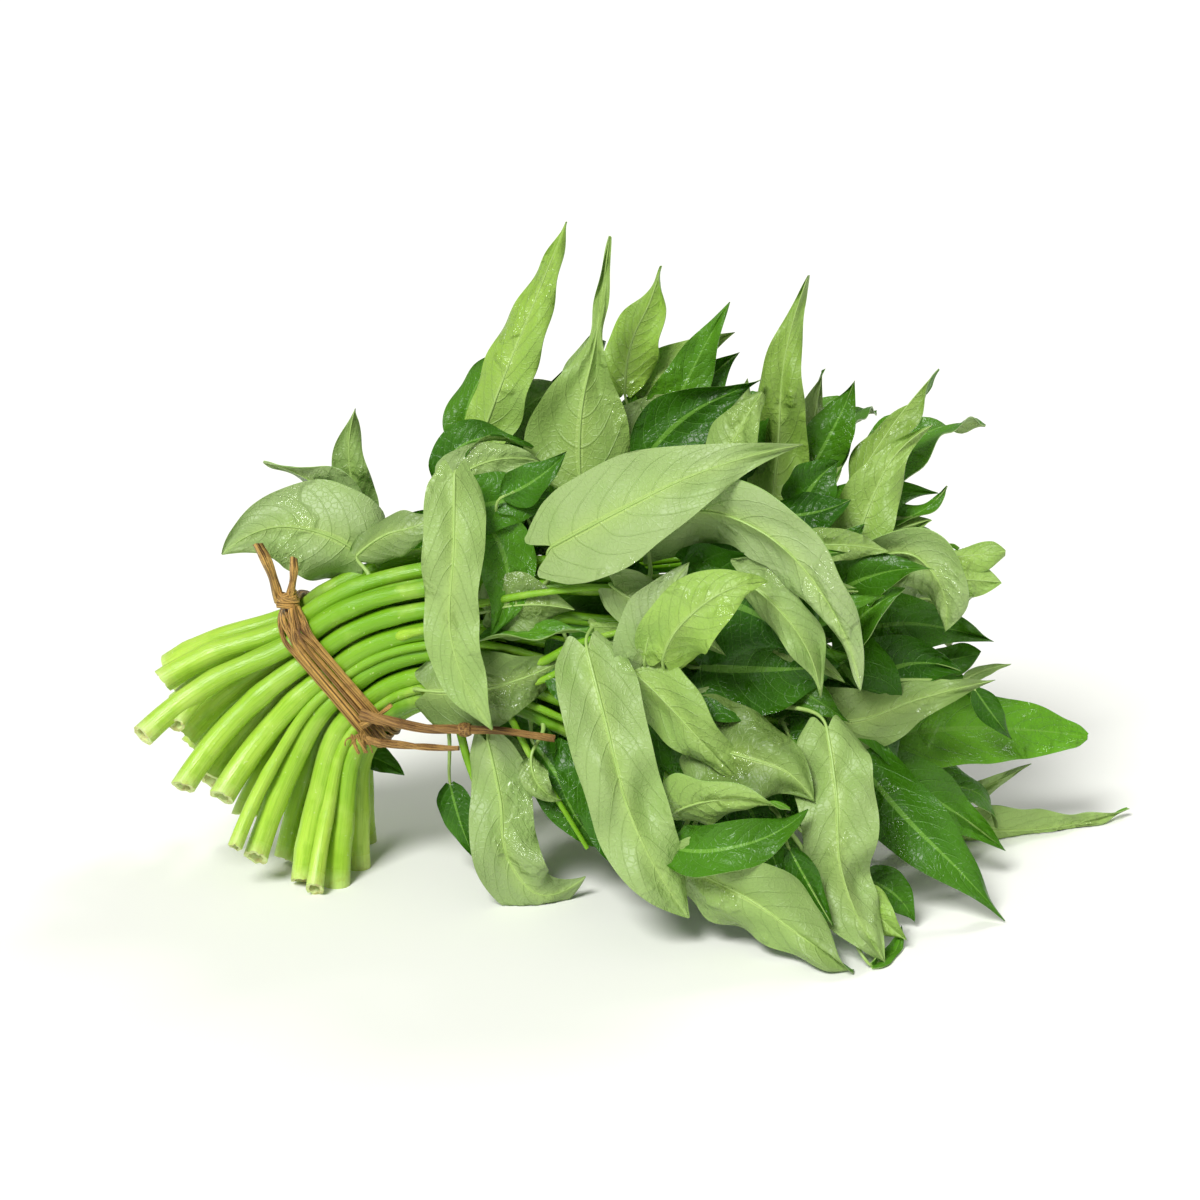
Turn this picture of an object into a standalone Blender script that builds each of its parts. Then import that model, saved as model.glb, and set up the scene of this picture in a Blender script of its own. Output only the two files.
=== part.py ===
"""A tied bundle of water spinach, lying on its cut ends and its leaves.

The hollow stems run side by side through a band of dried reed, fan out to
their cut ends on the left (-X), and carry long arrow-shaped leaves on thin
stalks on the right (+X). The bundle is laid out with the middle of the tie
above X = 0, Y = 0 and the surface it lies on at Z = 0. At the end it is moved
so that the middle of its footprint is the origin. Sizes are in millimetres.
"""

import math
import random

import bmesh
import bpy
import numpy as np
from mathutils import Matrix, Vector
from mathutils.bvhtree import BVHTree

MM = 0.001  # metres in a millimetre

# ---- Stems ----
STEM_ROWS = (6, 7, 6, 7, 6)  # stems in each row, nearest row first
STEM_DIAMETER = 8.0  # where the tie holds it
STEM_GAP = 1.0  # between neighbours in the tie
BUTT_DIAMETER = 9.0  # at the cut end
TIP_DIAMETER = 4.4  # where the stem ends among the leaves
STEM_SIDES = 8
STEM_RINGS = 11  # rings from the first node to the thin end
BORE_DIAMETER = 5.4  # the hollow that shows at the cut end
BORE_DEPTH = 13.0  # from the cut to the first node, which closes it
CUT_SLANT = 14.0  # most that a cut is out of square, degrees
BUTT_LENGTH = 70.0  # from the tie to the longest cut ends
BUTT_RAGGED = 13.0  # most that a stem falls short of that
SHOOT_LENGTH = 175.0  # from the tie to the thin ends, along X
LEAN = 38.0  # slope of the stems through the tie, degrees
FAN = 22.0  # spread of the cut ends to each side of the middle, degrees
EARLY_FAN = 0.10  # share of its offset that a stem has moved out 10 mm below the tie
FAN_MIDDLE = 60.0  # middle cut end points this far below level, degrees

# ---- Tie ----
TIE_HEIGHT = 82.0  # middle of the tie above the surface
TIE_WIDTH = 11.0
TIE_THICKNESS = 1.6
TIE_CLEARANCE = 0.32 * BUTT_DIAMETER  # between the band and the outer stems, which flare below it
TIE_SIDES = 28
TALL_END = 27.0  # of the twisted ends, above the band
SHORT_END = 17.0
LONG_TAIL = 76.0
SHORT_TAIL = 38.0
REED_WIDTH = 4.6  # of a loose end
REED_THICKNESS = 1.5

# ---- Leaves ----
LEAF_THICKNESS = 0.8
RIB_HEIGHT = 0.7  # of the midrib under the blade
STALK_DIAMETER = 2.4
SETTLE_STEP = 2.0  # a leaf that would cut its neighbours moves out by this
SETTLE_TRIES = 30  # steps tried each way
SETTLE_GAP = 0.5  # kept clear between a leaf and its neighbours
FLOOR_GAP = 0.4  # least height of a leaf above the lowest cut ends

SHARES = (0, 0.10, 0.25, 0.45, 0.65, 0.82, 0.94, 1)  # of the length, where a leaf's sections stand
ACROSS = (-1, -0.5, 0, 0.5, 1)  # points across a section, from edge to edge

# Outlines: the share of the half width at each section.
OUTLINES = {
    "arrow": (0.60, 0.86, 1.00, 0.85, 0.55, 0.25, 0.08, 0.02),
    "broad": (0.70, 0.92, 1.00, 0.92, 0.66, 0.36, 0.14, 0.02),
    "lance": (0.45, 0.74, 0.98, 0.94, 0.66, 0.34, 0.12, 0.02),
    "strap": (0.35, 0.65, 0.86, 0.95, 1.00, 0.70, 0.28, 0.02),
    "whip": (0.80, 1.00, 0.90, 0.32, 0.11, 0.10, 0.08, 0.02),
}
LOBES = {"arrow": 0.10, "broad": 0.08, "lance": 0.02, "strap": 0.02, "whip": 0.06}  # share of the length

# Leaves: name, midrib from stalk to point, width, way its upper side faces, cup in degrees, outline.
LEAVES = (
    ("leaf_left_hood", ((8, 2, 124), (-9, -4, 134), (-26, -9, 139), (-45, -15, 136)),
     40, (0.1, 0.9, -0.2), 18, "broad"),
    ("leaf_left_spike", ((10, 24, 134), (5, 25, 148), (3, 26, 165), (6, 26, 183)),
     18, (0, -1, 0.3), 20, "lance"),
    ("leaf_tall_bright", ((55, 15, 168), (65, 18, 195), (78, 20, 227), (92, 20, 260)),
     28, (0.35, 0.95, -0.3), 15, "lance"),
    ("leaf_whip", ((96, 0, 163), (97, 5, 190), (102, 10, 213), (105, 14, 234), (108, 14, 256)),
     42, (0, 1, -0.3), 12, "whip"),
    ("leaf_pair_front", ((126, 22, 167), (137, 25, 191), (155, 28, 226)),
     22, (-0.2, -0.9, 0.3), 18, "lance"),
    ("leaf_tall_right", ((173, 10, 149), (175, 14, 173), (177, 16, 205), (186, 18, 239)),
     25, (0.2, 0.95, -0.2), 15, "arrow"),
    ("leaf_hero_flat", ((86, -45, 147), (108, -58, 163), (141, -66, 182), (181, -60, 192)),
     40, (0.15, 0.95, -0.35), 10, "arrow"),
    ("leaf_hero_arch", ((124, -40, 150), (142, -52, 163), (165, -66, 159), (187, -76, 139), (203, -80, 102)),
     34, (0.2, 0.85, 0.3), 12, "broad"),
    ("leaf_hanging_left", ((48, -34, 172), (48, -44, 148), (47, -50, 110), (62, -54, 76)),
     24, (0, 1, -0.3), 15, "strap"),
    ("leaf_right_fold", ((202, 12, 149), (213, 16, 166), (225, 20, 183), (240, 22, 199)),
     22, (0.8, 0.5, -0.3), 40, "lance"),
    ("leaf_right_roll", ((228, 12, 122), (249, 18, 123), (268, 20, 124)),
     15, (0, -0.6, 0.8), 40, "strap"),
    ("leaf_right_droop", ((211, -15, 132), (227, -22, 136), (237, -26, 125), (239, -28, 106)),
     22, (0.25, 0.85, 0.35), 20, "arrow"),
    ("leaf_wavy", ((182, -40, 76), (202, -44, 76), (228, -36, 81), (259, -24, 85)),
     28, (0, 1, -0.3), 12, "arrow"),
    ("leaf_big_right", ((208, -14, 55), (237, -6, 57), (269, 10, 52), (305, 24, 43)),
     32, (0, -1, 0.3), 12, "arrow"),
    ("leaf_floor_long", ((229, 0, 16), (259, 14, 6), (292, 26, 2), (327, 44, 4)),
     22, (0, -0.35, 0.95), 20, "lance"),
    ("leaf_hero_front", ((99, -62, 111), (106, -78, 88), (115, -92, 57), (138, -96, 14)),
     32, (-0.1, 0.95, -0.1), 14, "strap"),
    ("leaf_fold_bright", ((128, -66, 108), (138, -78, 130), (153, -80, 141), (168, -76, 141)),
     26, (0.35, 0.9, 0), 15, "broad"),
    ("leaf_upright_pale", ((191, -66, 80), (194, -80, 60), (196, -94, 32), (212, -107, 1)),
     28, (-0.15, 0.95, 0), 18, "strap"),
    ("leaf_front_low", ((136, -92, 32), (159, -104, 25), (178, -112, 14), (200, -117, 1)),
     32, (-0.2, 0.9, 0.3), 12, "broad"),
    ("leaf_dark_right", ((208, -45, 55), (225, -54, 37), (243, -62, 21), (262, -68, 1)),
     30, (0, -1, 0.3), 12, "arrow"),
    ("leaf_left_hanging", ((60, -38, 64), (65, -46, 43), (68, -50, 19), (80, -52, 5), (99, -46, 10)),
     24, (0.1, 0.95, 0), 15, "strap"),
    ("leaf_back_high", ((112, 44, 150), (140, 66, 160), (172, 88, 140), (190, 100, 104)),
     36, (0.1, -0.6, 0.8), 14, "arrow"),
    ("leaf_back_low", ((150, 60, 66), (176, 82, 48), (200, 102, 26), (222, 120, 1)),
     34, (0.1, -0.9, 0.4), 14, "arrow"),
)


def rising(degrees):
    """The unit direction that rises at an angle from +X."""
    return Vector((math.cos(math.radians(degrees)), 0, math.sin(math.radians(degrees))))


STEM_AXIS = rising(LEAN)  # from the cut ends up through the tie
STACK_AXIS = rising(LEAN + 90)  # up across a row of stems in the tie
ROW_AXIS = Vector((0, 1, 0))  # from row to row
TIE_CENTRE = Vector((0, 0, TIE_HEIGHT))
PITCH = STEM_DIAMETER + STEM_GAP
ROW_STEP = PITCH * math.cos(math.radians(30))
STACK_REACH = (max(STEM_ROWS) - 1) / 2 * PITCH  # middle of the bundle to the outermost stem's centre
ROW_REACH = (len(STEM_ROWS) - 1) / 2 * ROW_STEP


def smooth(points, shares):
    """Points at the given shares of the way along a smooth curve through points."""
    p = np.array([tuple(point) for point in points], float)
    knots = np.concatenate([[0], np.cumsum(np.linalg.norm(np.diff(p, axis=0), axis=1))])
    knots /= knots[-1]
    slopes = np.gradient(p, knots, axis=0, edge_order=2)
    result = []
    for share in shares:
        if share < 0:  # straight on, behind the first point
            result.append(Vector(p[0] + share * slopes[0]))
            continue
        i = min(max(int(np.searchsorted(knots, share, side="right")) - 1, 0), len(p) - 2)
        step = knots[i + 1] - knots[i]
        u = (share - knots[i]) / step
        value = (2 * u**3 - 3 * u**2 + 1) * p[i] + (u**3 - 2 * u**2 + u) * step * slopes[i]
        value += (3 * u**2 - 2 * u**3) * p[i + 1] + (u**3 - u**2) * step * slopes[i + 1]
        result.append(Vector(value))
    return result


def directions(points):
    """The unit direction of travel at each of a run of points."""
    last = len(points) - 1
    return [(points[min(i + 1, last)] - points[max(i - 1, 0)]).normalized() for i in range(last + 1)]


def circle(centre, direction, radius, sides, slant=0.0, roll=0.0):
    """A ring of points round a direction; slant leans the ring, as a cut out of square."""
    across = direction.cross(ROW_AXIS).normalized()
    other = direction.cross(across)
    ring = []
    for k in range(sides):
        angle = 2 * math.pi * k / sides
        lean = radius * math.tan(math.radians(slant)) * math.cos(angle - roll)
        spoke = across * math.cos(angle) + other * math.sin(angle)
        ring.append(centre + spoke * radius + direction * lean)
    return ring


def loft(rings, join_ends=False):
    """A closed bmesh skin over rings that have the same number of points."""
    bm = bmesh.new()
    loops = [[bm.verts.new(point) for point in ring] for ring in rings]
    pairs = list(zip(loops, loops[1:]))
    if join_ends:
        pairs.append((loops[-1], loops[0]))
    for low, high in pairs:
        for k in range(len(low)):
            n = (k + 1) % len(low)
            bm.faces.new((low[k], low[n], high[n], high[k]))
    if not join_ends:
        bm.faces.new(reversed(loops[0]))
        bm.faces.new(loops[-1])
    bmesh.ops.recalc_face_normals(bm, faces=bm.faces)
    bmesh.ops.triangulate(bm, faces=bm.faces)
    return bm


def material(name, color, roughness):
    """A plain Principled material."""
    made = bpy.data.materials.new(name)
    made.use_nodes = True
    shader = made.node_tree.nodes["Principled BSDF"]
    shader.inputs["Base Color"].default_value = (*color, 1)
    shader.inputs["Roughness"].default_value = roughness
    shader.inputs["Metallic"].default_value = 0.0
    return made


def finish(name, bm, look):
    """Turns a bmesh in millimetres into a named object in metres."""
    mesh = bpy.data.meshes.new(name)
    bmesh.ops.scale(bm, vec=(MM, MM, MM), verts=bm.verts)
    bm.to_mesh(mesh)
    bm.free()
    mesh.materials.append(look)
    mesh.shade_smooth()
    mesh.set_sharp_from_angle(angle=math.radians(40))
    made = bpy.data.objects.new(name, mesh)
    bpy.context.collection.objects.link(made)
    return made


# ---- Stems ----


def stem_cells():
    """Where each stem crosses the middle of the tie: distance up the stack, distance along the rows."""
    for row, count in enumerate(STEM_ROWS):
        for place in range(count):
            yield (place - (count - 1) / 2) * PITCH, (row - (len(STEM_ROWS) - 1) / 2) * ROW_STEP


def stem_route(up, back, shortfall):
    """Smooth guide points of one stem, from its cut end to its thin end.

    up and back are its place in the tie. The cut ends fan out below the tie,
    the stems run straight through it, and the shoots spread into the leaves.
    """
    high = up / STACK_REACH
    deep = back / ROW_REACH
    aside = STACK_AXIS * up + ROW_AXIS * back
    through = TIE_CENTRE + aside
    straight = STEM_AXIS * (TIE_WIDTH / 2 + 5)
    length = BUTT_LENGTH + 6 * (1 - high**2)
    outward = -rising(FAN_MIDDLE - FAN * high)
    turning = (outward - STEM_AXIS).normalized()
    thicker = aside * (BUTT_DIAMETER / STEM_DIAMETER - 1)
    halfway = through + turning * length * 0.5 + thicker
    halfway += STACK_AXIS * 8 * high + ROW_AXIS * (4 * deep)
    cut = through + outward * (length * 0.55 - shortfall) + turning * length * 0.45 + thicker * 2
    cut += STACK_AXIS * 8 * high + ROW_AXIS * (15 * deep + 2)
    spread = Vector((0, ROW_REACH * deep, 0)), Vector((0, 0, STACK_REACH * high))
    return [
        cut,
        halfway,
        through - straight + aside * EARLY_FAN,
        through,
        through + straight,
        Vector((0.27 * SHOOT_LENGTH, 0, TIE_HEIGHT + 20)) + spread[0] * 1.5 + spread[1],
        Vector((0.58 * SHOOT_LENGTH, 0, TIE_HEIGHT + 12)) + spread[0] * 2.1 + spread[1] * 1.4,
        Vector((SHOOT_LENGTH * (1 - 0.12 * high**2), 0, TIE_HEIGHT + 2)) + spread[0] * 2.8 + spread[1] * 2.1,
    ]


def make_stems(look):
    """All the stems; returns their shapes, for the leaves to keep clear of, and their centre lines."""
    chance = random.Random(11)
    shapes = []
    lines = []
    level = BUTT_DIAMETER / 2
    for number, (up, back) in enumerate(stem_cells(), start=1):
        route = stem_route(up, back, chance.uniform(0, BUTT_RAGGED))
        slant = chance.uniform(-CUT_SLANT, CUT_SLANT)
        roll = chance.uniform(0, math.tau)
        stands = route[0].z < level  # this one presses its cut end on the surface
        if stands:
            route[0] = route[1].lerp(route[0], route[1].z / (route[1].z - route[0].z))
        total = sum((b - a).length for a, b in zip(route, route[1:]))
        node = BORE_DEPTH / total
        shares = [0] + list(np.linspace(node, 1, STEM_RINGS))
        centres = smooth(route, shares)
        runs = directions(centres)
        if stands:
            runs[0] = Vector((0, 0, 1))
            slant = 0
        tie_share = sum((b - a).length for a, b in zip(route[:2], route[1:3])) / total
        radii = np.interp(shares, (0, tie_share, 1), (BUTT_DIAMETER / 2, STEM_DIAMETER / 2, TIP_DIAMETER / 2))
        rings = [circle(centres[0], runs[0], radii[0], STEM_SIDES, slant, roll)]
        rings += [circle(c, d, r, STEM_SIDES) for c, d, r in zip(centres[1:], runs[1:], radii[1:])]
        bore = [
            circle(centres[1] - runs[1] * 1.0, runs[1], BORE_DIAMETER / 2, STEM_SIDES),
            circle(centres[0], runs[0], BORE_DIAMETER / 2, STEM_SIDES, slant, roll),
        ]
        bm = loft(bore + rings)
        shapes.append(bm.copy())
        lines.append(list(zip(centres, radii)))
        finish(f"stem_{number:02d}", bm, look)
    return shapes, lines


# ---- Tie ----


def band_outline(offset):
    """Corners of a loop that stays offset clear of every stem in the tie, as (up, back) pairs."""
    cells = list(stem_cells())
    reach = STEM_DIAMETER / 2 + offset
    angles = [math.tau * k / TIE_SIDES for k in range(TIE_SIDES)]
    support = [max(u * math.cos(a) + b * math.sin(a) for u, b in cells) + reach for a in angles]
    corners = []
    for k in range(TIE_SIDES):
        a, b = angles[k - 1], angles[k]
        turn = math.sin(b - a)
        up = (support[k - 1] * math.sin(b) - support[k] * math.sin(a)) / turn
        back = (support[k] * math.cos(a) - support[k - 1] * math.cos(b)) / turn
        corners.append((up, back))
    return corners


def place_in_tie(up, back, along):
    """A point given by its place across the tie and its distance along the stems."""
    return TIE_CENTRE + STACK_AXIS * up + ROW_AXIS * back + STEM_AXIS * along


def reed(route, width, thickness, flat):
    """A flattened strip along a route, with its flat side facing flat; its ends are cut square."""
    points = smooth(route, np.linspace(0, 1, 9))
    rings = []
    for point, run in zip(points, directions(points)):
        side = run.cross(flat).normalized() * width / 2
        rise = side.cross(run).normalized() * thickness / 2
        rings.append([point + side * 0.7 + rise, point + side, point + side * 0.7 - rise,
                      point - side * 0.7 - rise, point - side, point - side * 0.7 + rise])
    return loft(rings)


def make_tie(look):
    """The band round the stems and its four loose ends; returns their shapes."""
    inner = band_outline(TIE_CLEARANCE)
    outer = band_outline(TIE_CLEARANCE + TIE_THICKNESS)
    half = TIE_WIDTH / 2
    rings = [
        [place_in_tie(*inner[k], -half), place_in_tie(*outer[k], -half),
         place_in_tie(*outer[k], half), place_in_tie(*inner[k], half)]
        for k in range(TIE_SIDES)
    ]
    pieces = {"tie_band": loft(rings, join_ends=True)}

    clear = TIE_CLEARANCE + TIE_THICKNESS + REED_THICKNESS + 0.5
    top = place_in_tie(STACK_REACH + STEM_DIAMETER / 2 + clear, -0.4 * ROW_REACH, 0)
    front = place_in_tie(-0.62 * STACK_REACH, -ROW_REACH - STEM_DIAMETER / 2 - clear, 0)
    pieces["tie_end_tall"] = reed(
        [top, top + Vector((-1, -1, 0.45 * TALL_END)), top + Vector((-8, 2, TALL_END))],
        REED_WIDTH * 0.8, REED_THICKNESS, Vector((0.3, -1, 0)))
    pieces["tie_end_short"] = reed(
        [top + Vector((REED_WIDTH, -2, 3)), top + Vector((REED_WIDTH, -3, 3 + 0.5 * SHORT_END)),
         top + Vector((REED_WIDTH + 1, -3, 3 + SHORT_END))],
        REED_WIDTH * 0.6, REED_THICKNESS, Vector((-0.3, -1, 0)))
    pieces["tie_tail_long"] = reed(
        [front, front + Vector((0.3 * LONG_TAIL, -0.7 * ROW_REACH, -1)),
         front + Vector((0.65 * LONG_TAIL, -1.1 * ROW_REACH, 3)),
         front + Vector((LONG_TAIL, -1.3 * ROW_REACH, 4))],
        REED_WIDTH, REED_THICKNESS, Vector((0, -0.8, 0.6)))
    lower = front - Vector((0, 0, REED_WIDTH + 2.4))
    pieces["tie_tail_short"] = reed(
        [lower, lower + Vector((0.5 * SHORT_TAIL, -0.5 * ROW_REACH, -1)),
         lower + Vector((SHORT_TAIL, -0.8 * ROW_REACH, 0))],
        REED_WIDTH, REED_THICKNESS, Vector((0, -0.8, 0.6)))
    shapes = []
    for name, bm in pieces.items():
        shapes.append(bm.copy())
        finish(name, bm, look)
    return shapes


# ---- Leaves ----


def nearest_stem(point, lines):
    """The nearest point of a stem's surface, past the tie, and the way out from it."""
    best = None
    for line in lines:
        for (a, r), (b, _) in zip(line, line[1:]):
            along = min(max((point - a).dot(b - a) / (b - a).length_squared, 0), 1)
            place = a.lerp(b, along)
            gap = (point - place).length - r
            if place.x > TIE_WIDTH and (best is None or gap < best[0]):
                best = (gap, place, r)
    gap, place, r = best
    out = (point - place).normalized()
    return place + out * (r + 2 * SETTLE_GAP), out


def leaf_rings(form, thickness, shift, lines):
    """Sections of a leaf: its stalk from the nearest stem, then its blade, cupped towards its upper side."""
    midrib, width, face, cup, outline = form
    midrib = [Vector(point) + shift for point in midrib]
    face = Vector(face).normalized()
    fine = smooth(midrib, np.linspace(0, 1, 24))
    length = sum((b - a).length for a, b in zip(fine, fine[1:]))
    bend = math.radians(cup)
    blade = []
    for share, fullness in zip(SHARES, OUTLINES[outline]):
        half = fullness * width / 2
        top, under = [], []
        for v in ACROSS:
            at = share - LOBES[outline] * (1 - share) ** 4 * abs(v) ** 1.5
            behind, here = smooth(midrib, (at - 0.01, at))
            run = (here - behind).normalized()
            side = run.cross(face).normalized()
            up = side.cross(run)
            point = here + side * math.copysign(half * math.sin(bend * abs(v)) / bend, v)
            point += up * half * (1 - math.cos(bend * abs(v))) / bend
            top.append(point + up * thickness / 2)
            under.append(point - up * (thickness / 2 + (RIB_HEIGHT if v == 0 and share < 0.9 else 0)))
        blade.append(top + under[::-1])
    base = midrib[0]
    back = (fine[1] - fine[0]).normalized()
    start, out = nearest_stem(base, lines)
    reach = (base - start).length
    neck = base - back * max(LOBES[outline] * length * 0.3, 2.0)
    elbow = neck - back * reach * 0.25
    stalk = smooth([start, start.lerp(elbow, 0.55) + out * reach * 0.1, elbow, neck], np.linspace(0, 1, 5))
    radius = (thickness - LEAF_THICKNESS + STALK_DIAMETER) / 2
    turns = [176 - 43 * k for k in range(5)] + [-4 - 43 * k for k in range(5)]  # upper points, then lower
    rings = []
    for point, run in zip(stalk, directions(stalk)):
        side = run.cross(face).normalized() * radius
        up = side.cross(run)
        rings.append([point + side * math.cos(a) + up * math.sin(a) for a in map(math.radians, turns)])
    return rings + blade


def crosses(bm, others):
    """True where a shape cuts any other."""
    tree = BVHTree.FromBMesh(bm)
    return any(tree.overlap(other) for other in others)


def settling(midrib):
    """Moves to try for a leaf, shortest first: none, then out from the bundle, up, forward, back or along."""
    middle = sum((Vector(point) for point in midrib), Vector()) / len(midrib)
    out = Vector((0, middle.y, max(middle.z - TIE_HEIGHT, 0))).normalized()
    ways = [out, Vector((0, 0, 1)), Vector((0, -1, 0)), Vector((0, 1, 0)), Vector((1, 0, 0))]
    yield Vector()
    for step in range(1, SETTLE_TRIES):
        for way in ways:
            yield way * step * SETTLE_STEP


def make_leaves(look, shapes, lines):
    """Lays the leaves one by one, each moved out from the bundle until it clears what lies there."""
    placed = [BVHTree.FromBMesh(bm) for bm in shapes]
    for name, midrib, width, face, cup, outline in LEAVES:
        form = (midrib, width, face, cup, outline)
        for shift in settling(midrib):
            wide = loft(leaf_rings(form, LEAF_THICKNESS + 2 * SETTLE_GAP, shift, lines))
            if not crosses(wide, placed):
                break
        bm = loft(leaf_rings(form, LEAF_THICKNESS, shift, lines))
        for corner in bm.verts:
            corner.co.z = max(corner.co.z, FLOOR_GAP)
        placed.append(BVHTree.FromBMesh(bm))
        print(f"{name}: moved {tuple(round(v) for v in shift)} mm")
        finish(name, bm, look)


def main():
    for old in list(bpy.data.objects):
        bpy.data.objects.remove(old)
    stem_green = material("stem_green", (0.27, 0.50, 0.05), 0.35)
    leaf_green = material("leaf_green", (0.22, 0.42, 0.12), 0.5)
    dried_reed = material("dried_reed", (0.30, 0.15, 0.06), 0.75)
    stems, lines = make_stems(stem_green)
    tie = make_tie(dried_reed)
    make_leaves(leaf_green, stems + tie, lines)

    pieces = [made for made in bpy.data.objects if made.type == "MESH"]
    corners = np.array([tuple(v.co) for made in pieces for v in made.data.vertices])
    low, high = corners.min(axis=0), corners.max(axis=0)
    home = Matrix.Translation((-(low[0] + high[0]) / 2, -(low[1] + high[1]) / 2, -low[2]))
    for made in pieces:
        made.data.transform(home)
    print(f"{len(pieces)} pieces, {np.round((high - low) / MM, 1)} mm")


main()
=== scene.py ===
# %% [markdown]
# # A tied bundle of water spinach
# This file is a lesson in cells. It takes the plain solids of the bundle, which give every place and size,
# and makes the surfaces that are looked at: hollow stems, long veined leaves and a tie of dried reed.
# The first step loads the solids. Their box is kept, so that the finished bundle can be compared with it.

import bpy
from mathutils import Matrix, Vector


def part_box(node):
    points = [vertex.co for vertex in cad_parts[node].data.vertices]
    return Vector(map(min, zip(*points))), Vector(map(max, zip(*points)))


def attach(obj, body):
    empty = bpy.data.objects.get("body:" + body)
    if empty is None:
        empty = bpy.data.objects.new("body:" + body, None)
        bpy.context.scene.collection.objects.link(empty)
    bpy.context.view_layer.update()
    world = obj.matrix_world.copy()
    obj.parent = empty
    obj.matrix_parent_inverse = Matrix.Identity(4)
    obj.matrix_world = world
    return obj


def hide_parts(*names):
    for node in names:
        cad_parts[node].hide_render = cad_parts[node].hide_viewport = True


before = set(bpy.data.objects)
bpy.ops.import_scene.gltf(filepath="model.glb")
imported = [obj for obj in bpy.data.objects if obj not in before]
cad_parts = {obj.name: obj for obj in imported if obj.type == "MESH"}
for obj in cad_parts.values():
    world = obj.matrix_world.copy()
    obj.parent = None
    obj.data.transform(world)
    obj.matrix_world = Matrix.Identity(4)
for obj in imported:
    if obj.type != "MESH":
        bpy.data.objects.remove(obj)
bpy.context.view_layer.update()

# %% [markdown]
# ## Where things are
# The bundle is laid out like the real one on a bench: the middle of the tie is above X = 0, Y = 0, the cut
# ends are towards -X, the leaves towards +X, and the bench is at Z = 0. Working in millimetres from the tie
# keeps the numbers short. The solids have another origin, so the middle of the solid tie band says how far
# everything is moved at the end, when a mesh is turned into metres.

# %% The bench and the way back to the frame
import math
import random

import bmesh
import bpy
import numpy as np
from mathutils import Matrix, Vector

MM = 0.001  # metres in a millimetre
TIE_HEIGHT = 82.0  # middle of the tie above the bench, mm
TIE_CENTRE = np.array((0, 0, TIE_HEIGHT))
UPWARDS = np.array((0, 0, 1.0))

band_low, band_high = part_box("tie_band")
BENCH = (band_low + band_high) / 2 - Vector(TIE_CENTRE) * MM
TO_FRAME = Matrix.Translation(BENCH) @ Matrix.Scale(MM, 4)
print("the bench's origin in the frame:", [round(v, 4) for v in BENCH])


def bench_box(node):
    """The lowest and highest corner of a solid, in bench millimetres."""
    low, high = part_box(node)
    return (np.array(low) - BENCH) / MM, (np.array(high) - BENCH) / MM


# %% [markdown]
# ## Curves that everything follows
# Stems, leaf ribs and reed strips all run along smooth curves through a few points. One function reads such
# a curve at any shares of its length. It is a cubic through the points, so it bends like a plant and has no
# corners. A second function gives the direction of travel.

# %% Smooth curves
def cubic(u, step, values, slopes, i):
    """A smooth curve's value at a share u of its piece i, which is step long."""
    value = (2 * u**3 - 3 * u**2 + 1) * values[i] + (u**3 - 2 * u**2 + u) * step * slopes[i]
    return value + (3 * u**2 - 2 * u**3) * values[i + 1] + (u**3 - u**2) * step * slopes[i + 1]


def follow(points, shares):
    """Places at shares of the way along a smooth curve through points; below 0 it runs straight on."""
    p = np.asarray(points, float)
    shares = np.atleast_1d(np.asarray(shares, float))
    knots = np.concatenate([[0], np.cumsum(np.linalg.norm(np.diff(p, axis=0), axis=1))])
    knots /= knots[-1]
    slopes = np.gradient(p, knots, axis=0, edge_order=2 if len(p) > 2 else 1)
    i = np.clip(np.searchsorted(knots, shares, side="right") - 1, 0, len(p) - 2)
    step = (knots[i + 1] - knots[i])[:, None]
    u = (shares[:, None] - knots[i][:, None]) / step
    before = p[0] + shares[:, None] * slopes[0]
    return np.where(shares[:, None] < 0, before, cubic(u, step, p, slopes, i))


def unit(v):
    """Each vector at length 1."""
    v = np.asarray(v, float)
    return v / np.maximum(np.linalg.norm(v, axis=-1, keepdims=True), 1e-9)


def headings(points):
    """The direction of travel at each of a run of points."""
    return unit(np.gradient(np.asarray(points, float), axis=0))


def curve_length(points):
    """The length of the smooth curve through points."""
    fine = follow(points, np.linspace(0, 1, 40))
    return float(np.linalg.norm(np.diff(fine, axis=0), axis=1).sum())


def rising(degrees):
    """The direction that rises at an angle from +X."""
    return np.array((math.cos(math.radians(degrees)), 0, math.sin(math.radians(degrees))))


# %% [markdown]
# ## How a surface is made
# Every stem, stalk and strip of reed here is a rolled-up sheet: a tube along a curve, round for a stem,
# flattened for a reed. Blender's create_grid makes the sheet with a clean UV map, the sheet is wrapped round
# the curve, and remove_doubles closes its seam. The UV map then runs along the piece, so a pattern can follow
# the fibres. The curve's own frame is carried along it point by point, so the tube never twists by itself.

# %% Rolling a sheet into a tube
SEAM = 0.0005  # corners closer than this are one corner, mm


def carried_sides(runs, start):
    """A sideways direction at each point, carried along the curve without twisting."""
    sides = []
    side = np.asarray(start, float)
    for run in runs:
        side = unit(side - run * side.dot(run))
        sides.append(side)
    return np.array(sides)


def sheet(bm, rows, columns):
    """A flat grid with a UV map; returns its vertices, and how far along and across each one is (0 to 1)."""
    if not bm.loops.layers.uv:
        bm.loops.layers.uv.new("UVMap")
    made = bmesh.ops.create_grid(bm, x_segments=rows, y_segments=columns, size=0.5, calc_uvs=True)
    flat = np.array([corner.co[:2] for corner in made["verts"]]) + 0.5
    return made["verts"], flat[:, 0], flat[:, 1]


def put(corners, places):
    """Moves each vertex to its place."""
    for corner, place in zip(corners, places):
        corner.co = place


def faces_of(corners):
    """The faces whose vertices are all among corners."""
    chosen = set(corners)
    return [f for f in {f for c in corners for f in c.link_faces} if chosen.issuperset(f.verts)]


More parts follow.
